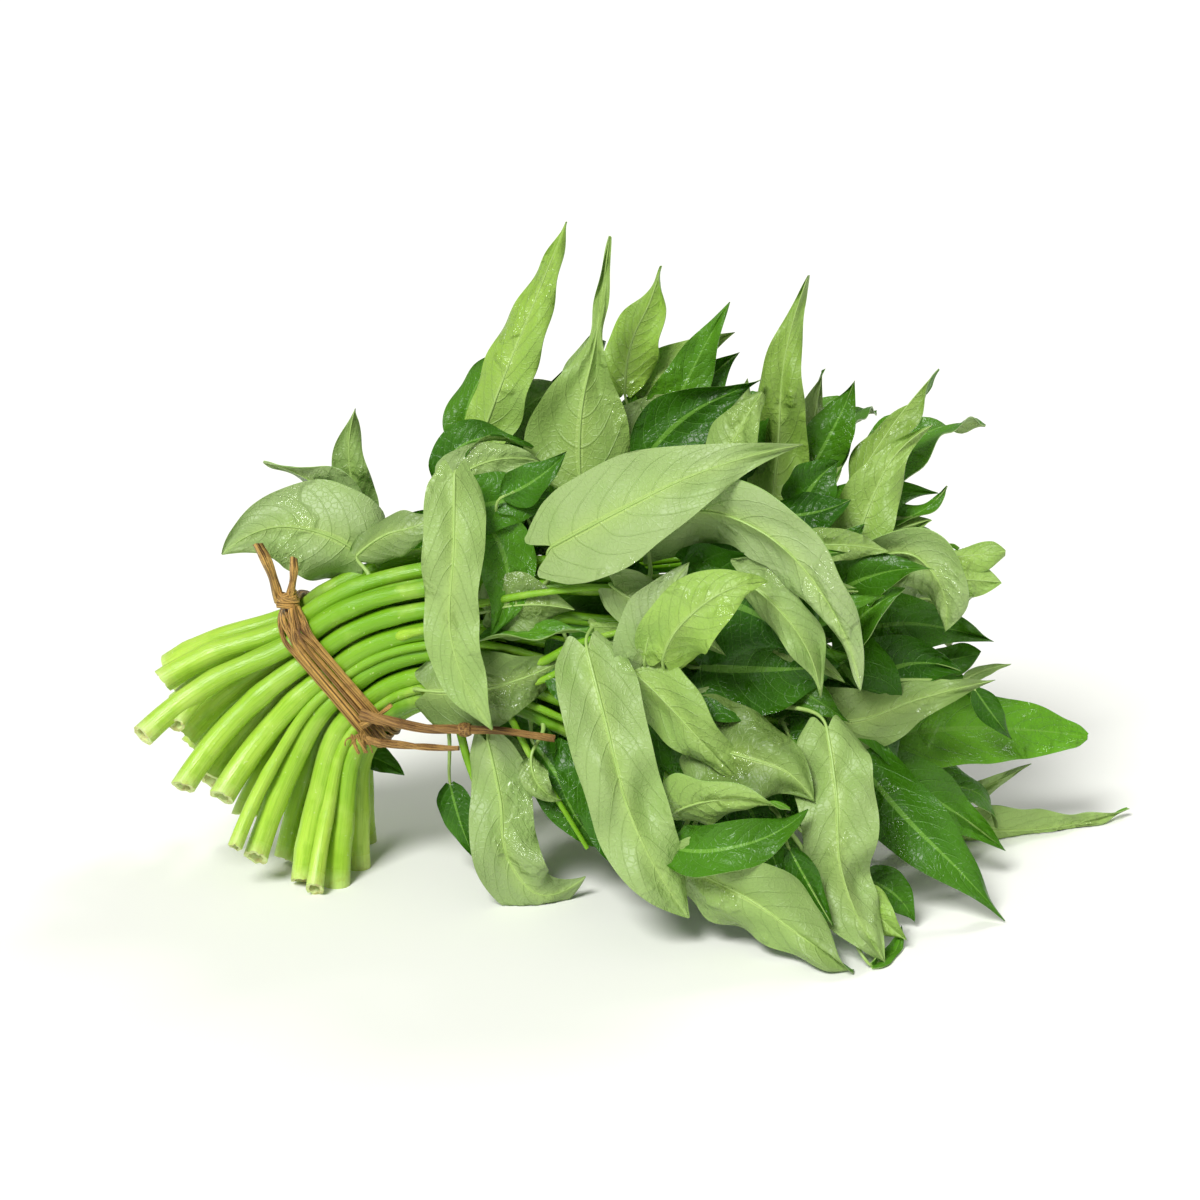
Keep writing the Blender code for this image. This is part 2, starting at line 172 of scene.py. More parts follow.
def ringed(middle, across, other, angle, wide, high):
    """Points at an angle round the middle of their ring, wide across and high the other way."""
    return middle + across * (np.cos(angle) * wide)[:, None] + other * (np.sin(angle) * high)[:, None]


RIDGES = np.array((0.6, -0.3, 0.9, -0.8, 0.2, -0.5, 0.7, -1.0, 0.4, 0.1))  # high and low lines round a reed


def loop_headings(points):
    """The direction of travel at each point of a closed loop."""
    return unit(np.roll(points, -1, axis=0) - np.roll(points, 1, axis=0))


def tube(bm, centres, widths, thicknesses, sides, start, look=0, ridges=0.0, closed=False):
    """A tube along centres, as wide across start as widths and as thick the other way as thicknesses.

    ridges raises fine lines along it, by that share of its size. closed joins its two ends.
    """
    centres = np.asarray(centres, float)
    runs = loop_headings(centres) if closed else headings(centres)
    across = start if np.ndim(start) == 2 else carried_sides(runs, start)
    other = np.cross(runs, across)
    rows = len(centres) if closed else len(centres) - 1
    corners, along, around = sheet(bm, rows, sides)
    row = np.rint(along * rows).astype(int) % len(centres)
    angle = -math.tau * around
    rough = 1 + ridges * RIDGES[np.rint(around * sides).astype(int) % sides % len(RIDGES)]
    wide, high = [np.asarray(sizes, float)[row] / 2 * rough for sizes in (widths, thicknesses)]
    put(corners, ringed(centres[row], across[row], other[row], angle, wide, high))
    made = faces_of(corners)
    for face in made:
        face.material_index = look
    bmesh.ops.remove_doubles(bm, verts=corners, dist=SEAM)
    if not closed:
        ends = [e for f in made if f.is_valid for e in f.edges if e.is_boundary]
        for face in bmesh.ops.holes_fill(bm, edges=list(set(ends)), sides=0)["faces"]:
            face.material_index = look


def close_up(bm):
    """Joins a rolled sheet's seam and puts a lid on each of its open ends."""
    bmesh.ops.remove_doubles(bm, verts=bm.verts, dist=SEAM)
    bmesh.ops.holes_fill(bm, edges=[e for e in bm.edges if e.is_boundary], sides=0)


# %% [markdown]
# ## Turning a mesh into a piece of the bundle
# Each finished mesh goes through the same few lines: it is moved from the bench into the frame, gets its
# materials, is shaded smooth but for real corners, rides on the body, and hides the solid it stands for.
# Numbers that a material needs, such as how bright a leaf is, where a low value paints shade, are kept on the
# mesh as attributes.

# %% Numbers on vertices
def new_mesh(*words):
    """An empty mesh whose vertices can carry these numbers."""
    bm = bmesh.new()
    bm.verts.layers.int.new("done")
    for word in words:
        bm.verts.layers.float.new(word)
    bm.loops.layers.uv.new("UVMap")
    return bm


def stamp(bm, **numbers):
    """Gives every vertex that has none yet these numbers."""
    done = bm.verts.layers.int["done"]
    layers = [(bm.verts.layers.float[word], value) for word, value in numbers.items()]
    for corner in bm.verts:
        if not corner[done]:
            corner[done] = 1
            for layer, value in layers:
                corner[layer] = value


# %% Finishing a piece
LOOKS = {}  # the materials of each kind of piece; filled in below, as they are made
SHARP = 55  # an edge that bends more than this, in degrees, stays a corner


def add_piece(name, bm, slot, stands_for=(), **numbers):
    """Makes a mesh in bench millimetres a piece of the bundle; numbers are the same all over it."""
    bmesh.ops.recalc_face_normals(bm, faces=bm.faces)
    bmesh.ops.transform(bm, matrix=TO_FRAME, verts=bm.verts)
    if "done" in bm.verts.layers.int:
        bm.verts.layers.int.remove(bm.verts.layers.int["done"])
    mesh = bpy.data.meshes.new(name)
    bm.to_mesh(mesh)
    bm.free()
    for look in LOOKS[slot]:
        mesh.materials.append(look)
    for word, value in numbers.items():
        attribute = mesh.attributes.new(word, "FLOAT", "POINT")
        attribute.data.foreach_set("value", np.broadcast_to(value, len(mesh.vertices)).astype(np.float32))
    mesh.shade_smooth()
    mesh.set_sharp_from_angle(angle=math.radians(SHARP))
    made = bpy.data.objects.new(name, mesh)
    bpy.context.collection.objects.link(made)
    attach(made, "root")
    if stands_for:
        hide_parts(*stands_for)


# %% [markdown]
# ## Helpers for materials
# A material is a small network of nodes. These helpers add a node, join two of them and blend two colours,
# so that each finish below reads as a short list of steps.

# %% Node helpers
class Look:
    """A material whose nodes are added one call at a time."""

    def __init__(self, name):
        self.material = bpy.data.materials.new(name)
        self.material.use_nodes = True
        self.tree = self.material.node_tree
        self.shader = self.tree.nodes["Principled BSDF"]
        self.out = self.tree.nodes["Material Output"]

    def feed(self, socket, value):
        """Joins a socket to another node's output, or sets it to a value."""
        if isinstance(value, bpy.types.NodeSocket):
            self.tree.links.new(value, socket)
        else:
            socket.default_value = value

    def add(self, kind, out=0, inputs=(), **settings):
        """Adds a node, sets it up and returns one of its outputs."""
        node = self.tree.nodes.new(kind)
        for word, value in settings.items():
            setattr(node, word, value)
        for place, value in dict(inputs).items():
            self.feed(node.inputs[place], value)
        return node.outputs[out]

    def math(self, operation, a, b=0.0, c=0.0, clamp=False):
        return self.add("ShaderNodeMath", inputs={0: a, 1: b, 2: c}, operation=operation, use_clamp=clamp)

    def ramp(self, value, low, high, to_low=0.0, to_high=1.0):
        """A smooth step from to_low to to_high while value goes from low to high."""
        return self.add("ShaderNodeMapRange", inputs={0: value, 1: low, 2: high, 3: to_low, 4: to_high},
                        interpolation_type="SMOOTHSTEP")

    def mix(self, share, a, b):
        """A blend of two colours."""
        a, b = [(*c, 1) if isinstance(c, tuple) else c for c in (a, b)]
        return self.add("ShaderNodeMix", out=2, inputs={0: share, 6: a, 7: b}, data_type="RGBA")

    def over(self, color, tint, mask, share=1.0):
        """A colour with a tint laid over it where mask is 1, as strongly as share."""
        return self.mix(self.math("MULTIPLY", mask, share), color, tint)

    def noise(self, where, scale, detail=2.0, rough=0.5):
        return self.add("ShaderNodeTexNoise", inputs={"Vector": where, "Scale": scale, "Detail": detail,
                                                      "Roughness": rough})

    def number(self, word):
        """A number kept on the mesh."""
        return self.add("ShaderNodeAttribute", out="Fac", attribute_name=word)

    def object_place(self):
        """The place in the bundle, in metres."""
        return self.add("ShaderNodeTexCoord", out="Object")

    def stretched(self, where, x, y):
        """Coordinates scaled differently each way."""
        return self.add("ShaderNodeMapping", inputs={"Vector": where, "Scale": (x, y, 1.0)})

    def bump(self, height, strength, distance):
        settings = {"Strength": strength, "Distance": distance, "Height": height}
        return self.add("ShaderNodeBump", inputs=settings)

    def finish(self, **inputs):
        """Joins the shader's inputs to their values; _ in a name stands for a space."""
        for word, value in inputs.items():
            self.feed(self.shader.inputs[word.replace("_", " ")], value)
        return self.material


# %% [markdown]
# ## The leaf's two faces
# A water spinach leaf is dark and glossy above, pale and matt below. A light green rib runs up its middle,
# and side veins leave it in arches that bend towards the tip. The UV map of a leaf runs from its base to its
# tip and from edge to edge, so the vein pattern can be worked out from it: a ramp along the leaf, less a
# share of the distance from the rib, is a whole number on every vein. A fine net of small veins comes from
# the edges of a Voronoi pattern. Clouds of noise make the green uneven, as it is in a leaf that has been
# handled. Wet patches are smoother, and crinkled by a little bump.

# %% The vein pattern
# The colours here and the shape of a blade, further down, both follow these three numbers.
VEINS = 9.0  # side veins from base to tip
VEIN_SWEEP = 2.6  # veins that one vein passes by the time it reaches the edge
VEIN_BEND = 1.35  # above 1, a vein leaves the rib steeply and bends along the edge

SAGE = (0.405, 0.53, 0.235)
LIME = (0.36, 0.61, 0.055)
SHADED_UNDER = (0.15, 0.25, 0.050)
RIB_GREEN = (0.50, 0.69, 0.19)
DARK_UPPER = (0.018, 0.092, 0.002)
FRESH_UPPER = (0.17, 0.45, 0.022)
THROUGH = 0.20  # share of the light that a leaf lets through
WET_ROUGHNESS = 0.08


def vein_masks(look):
    """Where the rib and the side veins are, from a leaf's UV map."""
    parts = look.tree.nodes.new("ShaderNodeSeparateXYZ")
    look.feed(parts.inputs[0], look.add("ShaderNodeUVMap"))
    aside = look.math("ABSOLUTE", look.math("MULTIPLY_ADD", parts.outputs[1], 2.0, -1.0))
    swept = look.math("MULTIPLY", look.math("POWER", aside, VEIN_BEND), -VEIN_SWEEP)
    wander = look.noise(look.object_place(), 45.0, 1.0)
    phase = look.math("ADD", look.math("MULTIPLY_ADD", parts.outputs[0], VEINS, swept),
                      look.math("MULTIPLY_ADD", wander, 0.5, -0.25))
    near = look.math("PINGPONG", phase, 0.5)
    line = look.ramp(near, 0.015, 0.06, 1.0, 0.0)
    veins = look.math("MULTIPLY", line, look.ramp(aside, 0.74, 1.0, 1.0, 0.0))
    taper = look.ramp(parts.outputs[0], 0.0, 1.0, 0.075, 0.03)
    rib = look.math("LESS_THAN", aside, taper)
    return aside, veins, rib


def leaf_face(name, upper):
    """One face of the leaf; brightness runs from dark, partly painted shade (0), to bright (1); warm from
    sage (0) to lime (1).
    """
    look = Look(name)
    aside, veins, rib = vein_masks(look)
    where = look.object_place()
    # how bright the leaf is: a low value is partly painted shade
    tone = look.number("tone")
    warm = look.number("warm")
    clouds = look.noise(where, 24.0, 2.0, 0.5)
    mottle = look.noise(where, 70.0, 4.0, 0.6)
    bruise = look.noise(where, 36.0, 3.0, 0.55)
    net = look.add("ShaderNodeTexVoronoi", out="Distance", inputs={"Vector": where, "Scale": 420.0},
                   feature="DISTANCE_TO_EDGE")
    net_line = look.ramp(net, 0.0, 0.12, 1.0, 0.0)
    cells = look.ramp(look.noise(where, 900.0, 2.0), 0.3, 0.7)
    if upper:
        # a low brightness gives the upper side its own dark green, and also paints shade on leaves deep in
        # the bundle
        color = look.mix(tone, DARK_UPPER, FRESH_UPPER)
        color = look.over(color, (0.11, 0.34, 0.018), look.ramp(clouds, 0.45, 0.70), 0.40)
        color = look.over(color, (0.040, 0.17, 0.006), look.ramp(mottle, 0.45, 0.75), 0.35)
        color = look.over(color, (0.12, 0.34, 0.035), net_line, 0.14)
        color = look.over(color, (0.17, 0.42, 0.06), veins, 0.42)
        color = look.over(color, (0.22, 0.48, 0.06), rib, 0.7)
        glow, dry, vein_height = (0.16, 0.50, 0.02, 1), 0.30, -1.0
    else:
        color = look.mix(warm, SAGE, LIME)
        # a low brightness darkens the underside towards SHADED_UNDER: painted shade
        color = look.mix(look.math("SUBTRACT", 1.0, tone, clamp=True), color, SHADED_UNDER)
        color = look.over(color, (0.26, 0.46, 0.085), look.ramp(bruise, 0.50, 0.72), 0.38)
        color = look.over(color, (0.50, 0.70, 0.16), look.ramp(aside, 0.05, 0.45, 1.0, 0.0), 0.30)
        color = look.over(color, (0.34, 0.53, 0.13), look.ramp(clouds, 0.44, 0.70), 0.50)
        color = look.over(color, (0.34, 0.50, 0.15), look.ramp(mottle, 0.42, 0.72), 0.24)
        color = look.over(color, (0.36, 0.52, 0.14), net_line, 0.22)
        color = look.over(color, (0.30, 0.47, 0.11), veins, 0.30)
        color = look.over(color, RIB_GREEN, rib, 0.7)
        glow, dry, vein_height = (0.44, 0.70, 0.06, 1), 0.43, 1.0
    wet = look.ramp(look.noise(where, 30.0, 3.0, 0.6), 0.55, 0.61)
    crinkle = look.noise(where, 260.0, 3.0, 0.6)
    net_height = look.math("MULTIPLY", net_line, 0.35 * vein_height)
    height = look.math("MULTIPLY_ADD", veins, 0.9 * vein_height, net_height)
    height = look.math("MULTIPLY_ADD", cells, 0.18, height)
    height = look.math("ADD", height, look.math("MULTIPLY", look.math("MULTIPLY", crinkle, wet), 6.5))
    normal = look.bump(height, 0.55, 0.0005)
    roughness = look.math("MULTIPLY_ADD", wet, WET_ROUGHNESS - dry, dry)
    look.finish(Base_Color=color, Roughness=roughness, Normal=normal,
                Specular_IOR_Level=0.32 if upper else 0.50)
    through = look.add("ShaderNodeBsdfTranslucent", inputs={"Color": glow, "Normal": normal})
    both = look.add("ShaderNodeMixShader", inputs={0: THROUGH, 1: look.shader.outputs[0], 2: through})
    look.feed(look.out.inputs["Surface"], both)
    return look.material


leaf_upper = leaf_face("leaf_upper", True)
leaf_under = leaf_face("leaf_under", False)
print("leaf faces:", leaf_upper.name, leaf_under.name)

# %% [markdown]
# ## The rib, the stalk and the cut edge of a leaf
# The rib and the stalk are one juicy strand, smoother than the blade, with faint lines along it. The very
# edge of the blade is a hair-thin pale line.

# %% Rib, stalk and edge
def strand_look(name, pale, deep, lines):
    """A smooth strand with fine lines along it."""
    look = Look(name)
    uv = look.add("ShaderNodeUVMap")
    streaks = look.noise(look.stretched(uv, 6.0, lines), 3.0, 3.0, 0.6)
    color = look.mix(look.ramp(streaks, 0.35, 0.68), deep, pale)
    return look.finish(Base_Color=color, Normal=look.bump(streaks, 0.35, 0.0004), Roughness=0.34)


leaf_rib = strand_look("leaf_rib", (0.46, 0.63, 0.20), (0.30, 0.48, 0.10), 10.0)
leaf_edge = strand_look("leaf_edge", (0.36, 0.55, 0.16), (0.24, 0.42, 0.09), 2.0)
LOOKS["leaf"] = [leaf_upper, leaf_under, leaf_rib, leaf_edge]
UPPER, UNDER, RIB, EDGE = range(4)  # their numbers on a leaf

# %% [markdown]
# ## Stem skin
# The stems are waxy, bright yellow-green tubes. Their skin has faint darker lines along it, small pale
# specks, and a paler, slightly brown, torn zone at the cut. The attribute "cut" is 1 inside and on the rim
# and 0 on the skin, and "fresh" lets one stem be a little yellower than the next.

# %% Stem skin material
def stem_look():
    """Waxy skin with patches and streaks, and pale flesh where the stem is cut."""
    look = Look("stem_skin")
    uv = look.add("ShaderNodeUVMap")
    where = look.object_place()
    lines = look.noise(look.stretched(uv, 5.0, 16.0), 2.2, 4.0, 0.62)
    clouds = look.noise(where, 55.0, 3.0, 0.55)
    fresh = look.number("fresh")
    cut = look.number("cut")
    parts = look.tree.nodes.new("ShaderNodeSeparateXYZ")
    look.feed(parts.inputs[0], uv)
    butt = look.mix(fresh, (0.33, 0.58, 0.030), (0.52, 0.74, 0.09))
    shoot = look.mix(fresh, (0.12, 0.34, 0.006), (0.23, 0.48, 0.016))
    color = look.mix(look.ramp(parts.outputs[0], 0.10, 0.46), butt, shoot)
    color = look.over(color, (0.19, 0.43, 0.014), look.ramp(lines, 0.40, 0.70), 0.45)
    color = look.over(color, (0.50, 0.70, 0.12), look.ramp(clouds, 0.50, 0.70), 0.45)
    shade = look.ramp(look.noise(look.stretched(uv, 9.0, 3.0), 2.0, 3.0, 0.6), 0.50, 0.68)
    color = look.over(color, (0.22, 0.45, 0.012), shade, 0.40)
    specks = look.ramp(look.noise(where, 620.0, 1.0), 0.70, 0.78)
    color = look.over(color, (0.62, 0.74, 0.28), specks, 0.45)
    browned = look.ramp(look.noise(where, 380.0, 3.0), 0.42, 0.66)
    flesh = look.mix(browned, (0.64, 0.76, 0.30), (0.52, 0.52, 0.18))
    grain = look.math("MULTIPLY", look.noise(where, 500.0), 0.25)
    height = look.math("MULTIPLY_ADD", lines, 0.8, grain)
    roughness = look.math("MULTIPLY_ADD", cut, 0.30, 0.26)
    return look.finish(Base_Color=look.mix(cut, color, flesh), Roughness=roughness,
                       Normal=look.bump(height, 0.6, 0.0006), Specular_IOR_Level=0.42, Subsurface_Weight=0.12,
                       Subsurface_Radius=(0.0012, 0.0024, 0.0005), Subsurface_Scale=1.0)


LOOKS["stem"] = [stem_look()]

# %% [markdown]
# ## Dried reed
# The tie is a split, dried reed: brown, dull, and full of long fibres, some nearly straw-pale and some dark.
# Noise stretched far along the strip gives the fibres, and "age" makes the tails darker than the band.

# %% Reed material
def reed_look():
    """Brown fibres, some nearly straw-pale and some dark, darker still with age."""
    look = Look("dried_reed")
    uv = look.add("ShaderNodeUVMap")
    where = look.object_place()
    fine = look.noise(look.stretched(uv, 4.0, 10.0), 2.5, 4.0, 0.6)
    fibres = look.noise(look.stretched(uv, 5.0, 2.4), 3.0, 6.0, 0.72)
    coarse = look.noise(look.stretched(uv, 1.5, 7.0), 2.0, 2.0)
    both = look.math("MULTIPLY_ADD", fine, 0.55, look.math("MULTIPLY", fibres, 0.45))
    color = look.mix(look.ramp(both, 0.43, 0.56), (0.080, 0.030, 0.004), (0.84, 0.50, 0.13))
    color = look.over(color, (0.44, 0.22, 0.030), look.ramp(coarse, 0.45, 0.62), 0.20)
    blotch = look.ramp(look.noise(where, 210.0, 3.0), 0.56, 0.70)
    color = look.over(color, (0.10, 0.036, 0.008), blotch, 0.34)
    color = look.over(color, (0.14, 0.055, 0.020), look.number("age"), 0.60)
    return look.finish(Base_Color=color, Roughness=look.math("MULTIPLY_ADD", fibres, 0.3, 0.28),
                       Normal=look.bump(fibres, 1.0, 0.0014))


LOOKS["reed"] = [reed_look()]

# %% [markdown]
# ## Stems
# Thirty-two hollow stems stand in five rows in the tie. Below it they fan out and bend down to their cut
# ends; above it they thin out and spread into the leaves. Each is one rolled sheet that starts at the
# bottom of the hollow, comes up its wall, turns over the rim and runs down the outside to the thin end.
# So the hollow is real, and the rim can be torn: its points are moved along the stem by a ragged amount.
# A stem swells a little at each joint, where leaves grew.

# %% The stems' layout
STEM_ROWS = (6, 7, 6, 7, 6)  # stems in each row, nearest row first
STEM_DIAMETER = 8.0
STEM_GAP = 1.0
BUTT_DIAMETER = 9.0  # at the cut end
TIP_DIAMETER = 4.4
BORE_DIAMETER = 5.4
BORE_DEPTH = 13.0
BUTT_LENGTH = 70.0
BUTT_RAGGED = 13.0
SHOOT_LENGTH = 175.0
LEAN = 38.0  # slope through the tie, degrees
FAN_MIDDLE = 60.0  # slope below the tie of the stems in the middle
FAN = 22.0  # how much less that is at the top, and more at the bottom
EARLY_FAN = 0.10  # how much wider than in the tie the stems already lie just below it
TIE_WIDTH = 11.0

STEM_AXIS = rising(LEAN)
STACK_AXIS = rising(LEAN + 90)
ROW_AXIS = np.array((0, 1, 0))
PITCH = STEM_DIAMETER + STEM_GAP
ROW_STEP = PITCH * math.cos(math.radians(30))
STACK_REACH = (max(STEM_ROWS) - 1) / 2 * PITCH
ROW_REACH = (len(STEM_ROWS) - 1) / 2 * ROW_STEP


def stem_cells():
    """Where each stem crosses the middle of the tie: distance up the stack and along the rows."""
    for row, count in enumerate(STEM_ROWS):
        for place in range(count):
            yield (place - (count - 1) / 2) * PITCH, (row - (len(STEM_ROWS) - 1) / 2) * ROW_STEP


def stem_route(up, back, shortfall):
    """Guide points of one stem, from its cut end to its thin end."""
    high = up / STACK_REACH
    deep = back / ROW_REACH
    aside = STACK_AXIS * up + ROW_AXIS * back
    through = TIE_CENTRE + aside
    straight = STEM_AXIS * (TIE_WIDTH / 2 + 5)
    length = BUTT_LENGTH + 6 * (1 - high**2)
    outward = -rising(FAN_MIDDLE - FAN * high)
    turning = unit(outward - STEM_AXIS)
    thicker = aside * (BUTT_DIAMETER / STEM_DIAMETER - 1)
    halfway = through + turning * length * 0.5 + thicker
    halfway = halfway + STACK_AXIS * 8 * high + ROW_AXIS * (4 * deep)
    cut = through + outward * (length * 0.55 - shortfall) + turning * length * 0.45 + thicker * 2
    cut = cut + STACK_AXIS * 8 * high + ROW_AXIS * (15 * deep + 2)
    sideways = np.array((0, ROW_REACH * deep, 0))
    upwards = np.array((0, 0, STACK_REACH * high))
    return [
        cut,
        halfway,
        through - straight + aside * EARLY_FAN,
        through,
        through + straight,
        np.array((0.27 * SHOOT_LENGTH, 0, TIE_HEIGHT + 20)) + sideways * 1.5 + upwards,
        np.array((0.58 * SHOOT_LENGTH, 0, TIE_HEIGHT + 12)) + sideways * 2.1 + upwards * 1.4,
        np.array((SHOOT_LENGTH * (1 - 0.12 * high**2), 0, TIE_HEIGHT + 2)) + sideways * 2.8 + upwards * 2.1,
    ]


# %% One stem
STEM_SIDES = 18
STEM_STEP = 3.0  # between rings along a stem
NODE_SPACING = 62.0  # between the swollen joints
HOLLOW_RINGS = 5  # from the bottom of the hollow up to the rim
SHOOT_END = 2.2  # thickness where a stem ends in its youngest leaves


def stem_sizes(route, scale, tie_scale, dice):
    """A stem's length, places along it, the radius at each, and where its joints fall."""
    total = sum(np.linalg.norm(b - a) for a, b in zip(route, route[1:]))
    shares = np.linspace(0, 1, int(total / STEM_STEP))
    tie_share = sum(np.linalg.norm(b - a) for a, b in zip(route[:2], route[1:3])) / total
    thick = (BUTT_DIAMETER, STEM_DIAMETER, STEM_DIAMETER * 0.92, TIP_DIAMETER, SHOOT_END)
    radii = np.interp(shares, (0, tie_share, tie_share + 0.12, 0.80, 1), thick) / 2
    radii = radii * np.interp(shares, (0, tie_share), (scale, tie_scale))
    joint = dice.uniform(0.2, 0.8)
    swell = np.cos(math.pi * (shares * total / NODE_SPACING + joint)) ** 2
    return total, shares, radii * (0.985 + 0.09 * swell**24), joint


def stem_rings(route, total, shares, radii, scale, stands):
    """Centre, radius and direction of each ring: up the hollow, over the rim, then to the thin end."""
    centres = follow(route, shares)
    runs = headings(centres)
    if stands:
        runs[0] = (0, 0, 1)
    bore = BORE_DIAMETER / 2 * scale
    depth = np.linspace(BORE_DEPTH, 0, HOLLOW_RINGS)
    inner = follow(route, depth / total)
    inner_runs = -headings(follow(route, np.linspace(BORE_DEPTH, -0.5, HOLLOW_RINGS) / total))
    rings = [(inner[0], bore * 0.35, inner_runs[0])]  # the floor of the hollow
    rings += [(place, bore * 0.92, run) for place, run in zip(inner[:-1], inner_runs[:-1])]  # its wall
    rings += [(inner[-1], bore * 1.04, runs[0])]  # the rim: inside, bevelled edge and outside
    rings += [(centres[0], radii[0] * 0.93, runs[0]), (centres[0], radii[0], runs[0])]
    rings += list(zip(centres[1:], radii[1:], runs[1:]))  # the skin
    rings += [(centres[-1] + runs[-1] * 0.8, radii[-1] * 0.45, runs[-1])]  # the closed thin end
    return rings, centres


def make_stem(name, route, slant, roll, stands, dice, stands_for, scale, tie_scale):
    """A hollow, cut stem along a route; returns its centre line and radii."""
    total, shares, radii, joint = stem_sizes(route, scale, tie_scale, dice)
    rings, centres = stem_rings(route, total, shares, radii, scale, stands)
    bm = bmesh.new()
    layer = bm.verts.layers.float.new("cut")
    corners, along, around = sheet(bm, len(rings) - 1, STEM_SIDES)
    row = np.rint(along * (len(rings) - 1)).astype(int)
    middle, radius, run = [np.array([ring[k] for ring in rings])[row] for k in range(3)]
    across = unit(np.cross(run, ROW_AXIS))
    other = np.cross(run, across)
    angle = math.tau * around
    past_rim = row - HOLLOW_RINGS - 2
    radius = radius * (1 + 0.022 * np.cos(5 * angle + joint * 9) * (past_rim > 0))
    near_cut = np.clip(1 - past_rim / 6, 0, 1) * (past_rim > -3)
    radius = radius * (1 + 0.05 * np.cos(2 * angle + joint * 20) * near_cut)
    lean = radius * math.tan(math.radians(slant)) * np.cos(angle - roll)
    fade = np.where(row < HOLLOW_RINGS - 1, 0.0, np.clip(1 - past_rim / 4, 0, 1))
    tear = np.array([dice.uniform(-0.2, 0.7) for _ in range(STEM_SIDES)]) * (0.0 if stands else 1.0)
    ragged = tear[np.rint(around * STEM_SIDES).astype(int) % STEM_SIDES]
    torn = np.where((past_rim <= 0) & (past_rim >= -2), 1.0, np.where(past_rim == 1, 0.3, 0.0))
    places = ringed(middle, across, other, angle, radius, radius)
    places += run * (fade * lean + torn * ragged)[:, None]
    places[:, 2] = np.maximum(places[:, 2], 0.0)
    put(corners, places)
    mark = np.where(past_rim <= -1, 1.0, 0.0) + np.clip(1 - past_rim / 2.2, 0, 1) * 0.5 * (past_rim >= 0)
    for corner, value in zip(corners, np.clip(mark, 0, 1)):
        corner[layer] = value
    close_up(bm)
    add_piece(name, bm, "stem", stands_for, fresh=dice.uniform(0.05, 1.0))
    return centres, radii


# %% [markdown]
# ## A bundle is never quite regular
# The solids fan out evenly. In a real bundle one stem is thicker than the next, a cut end has slipped a
# little past its neighbour, and a knife or a snap leaves each end open at its own slant. Small random amounts
# from a fixed seed give that, and leave each stem near its solid. A few thin stems, which stand for no solid,
# lie in the grooves between the nearest ones.

# %% All the stems
SLIP = 5.0  # most that a cut end lies off its solid's, mm
OPEN_SLANT = (10, 30)  # slant of a cut, degrees, turned towards the front
GROOVES = ((-18, -18.2), (0, -18.4), (24, -12.5))  # where thin stems cross the tie: up and along the rows


def shifted(route, shift, share):
    """A stem's route with its cut end moved by shift, and the middle of its butt by a share of that."""
    return [route[0] + shift, route[1] + shift * share, *route[2:]]


chance = random.Random(11)  # the solids' own numbers, drawn in the same order
dice = random.Random(5)
stem_lines = []  # the centre line and the radii of each stem
worst = 0.0
for number, (up, back) in enumerate(stem_cells(), start=1):
    route = stem_route(up, back, chance.uniform(0, BUTT_RAGGED))
    chance.uniform(0, 1)  # two numbers that shape only the solid's own cut
    chance.uniform(0, 1)
    stands = route[0][2] < BUTT_DIAMETER / 2
    if stands:  # its end would be below the bench: it stops where it meets it
        route[0] = route[1] + (route[0] - route[1]) * route[1][2] / (route[1][2] - route[0][2])
    slip = ROW_AXIS * dice.uniform(-SLIP, SLIP)
    rise = 0 if stands else dice.uniform(-SLIP, SLIP)
    route = shifted(route, slip + STACK_AXIS * rise, 0.35)
    slant = 0 if stands else dice.uniform(*OPEN_SLANT)
    roll = math.pi / 2 + dice.uniform(-0.9, 0.9)
    node = f"stem_{number:02d}"
    scale, tie_scale = dice.uniform(0.98, 1.26), dice.uniform(0.98, 1.14)
    centres, radii = make_stem(f"{node}_skin", route, slant, roll, stands, dice, [node], scale, tie_scale)
    stem_lines.append((centres, radii))
    low, high = bench_box(node)
    middle = (centres.min(axis=0) + centres.max(axis=0)) / 2
    worst = max(worst, float(np.abs(middle - (low + high) / 2)[1:].max()))
for number, (up, back) in enumerate(GROOVES, start=1):
    route = stem_route(up, back, dice.uniform(2, BUTT_RAGGED + 6))
    slip = ROW_AXIS * dice.uniform(-SLIP, 0) + STACK_AXIS * dice.uniform(-SLIP, SLIP) * 1.5
    route = shifted(route, slip, 0.3)
    route[0][2] = max(route[0][2], 3)
    slant, scale = dice.uniform(*OPEN_SLANT), dice.uniform(0.68, 0.85)
    name = f"thin_stem_{number}"
    stem_lines.append(make_stem(name, route, slant, math.pi / 2, False, dice, (), scale, 0.52))
print(len(stem_lines), "stems; farthest middle from its solid:", round(worst, 2), "mm")

# %% [markdown]
# ## Side shoots
# Where a leaf was pulled off, or a side shoot starts, a thinner and paler branch leaves the stem at a small
# swelling. A few of them cross the stems to the right of the tie. Each is a tube along a short curve.

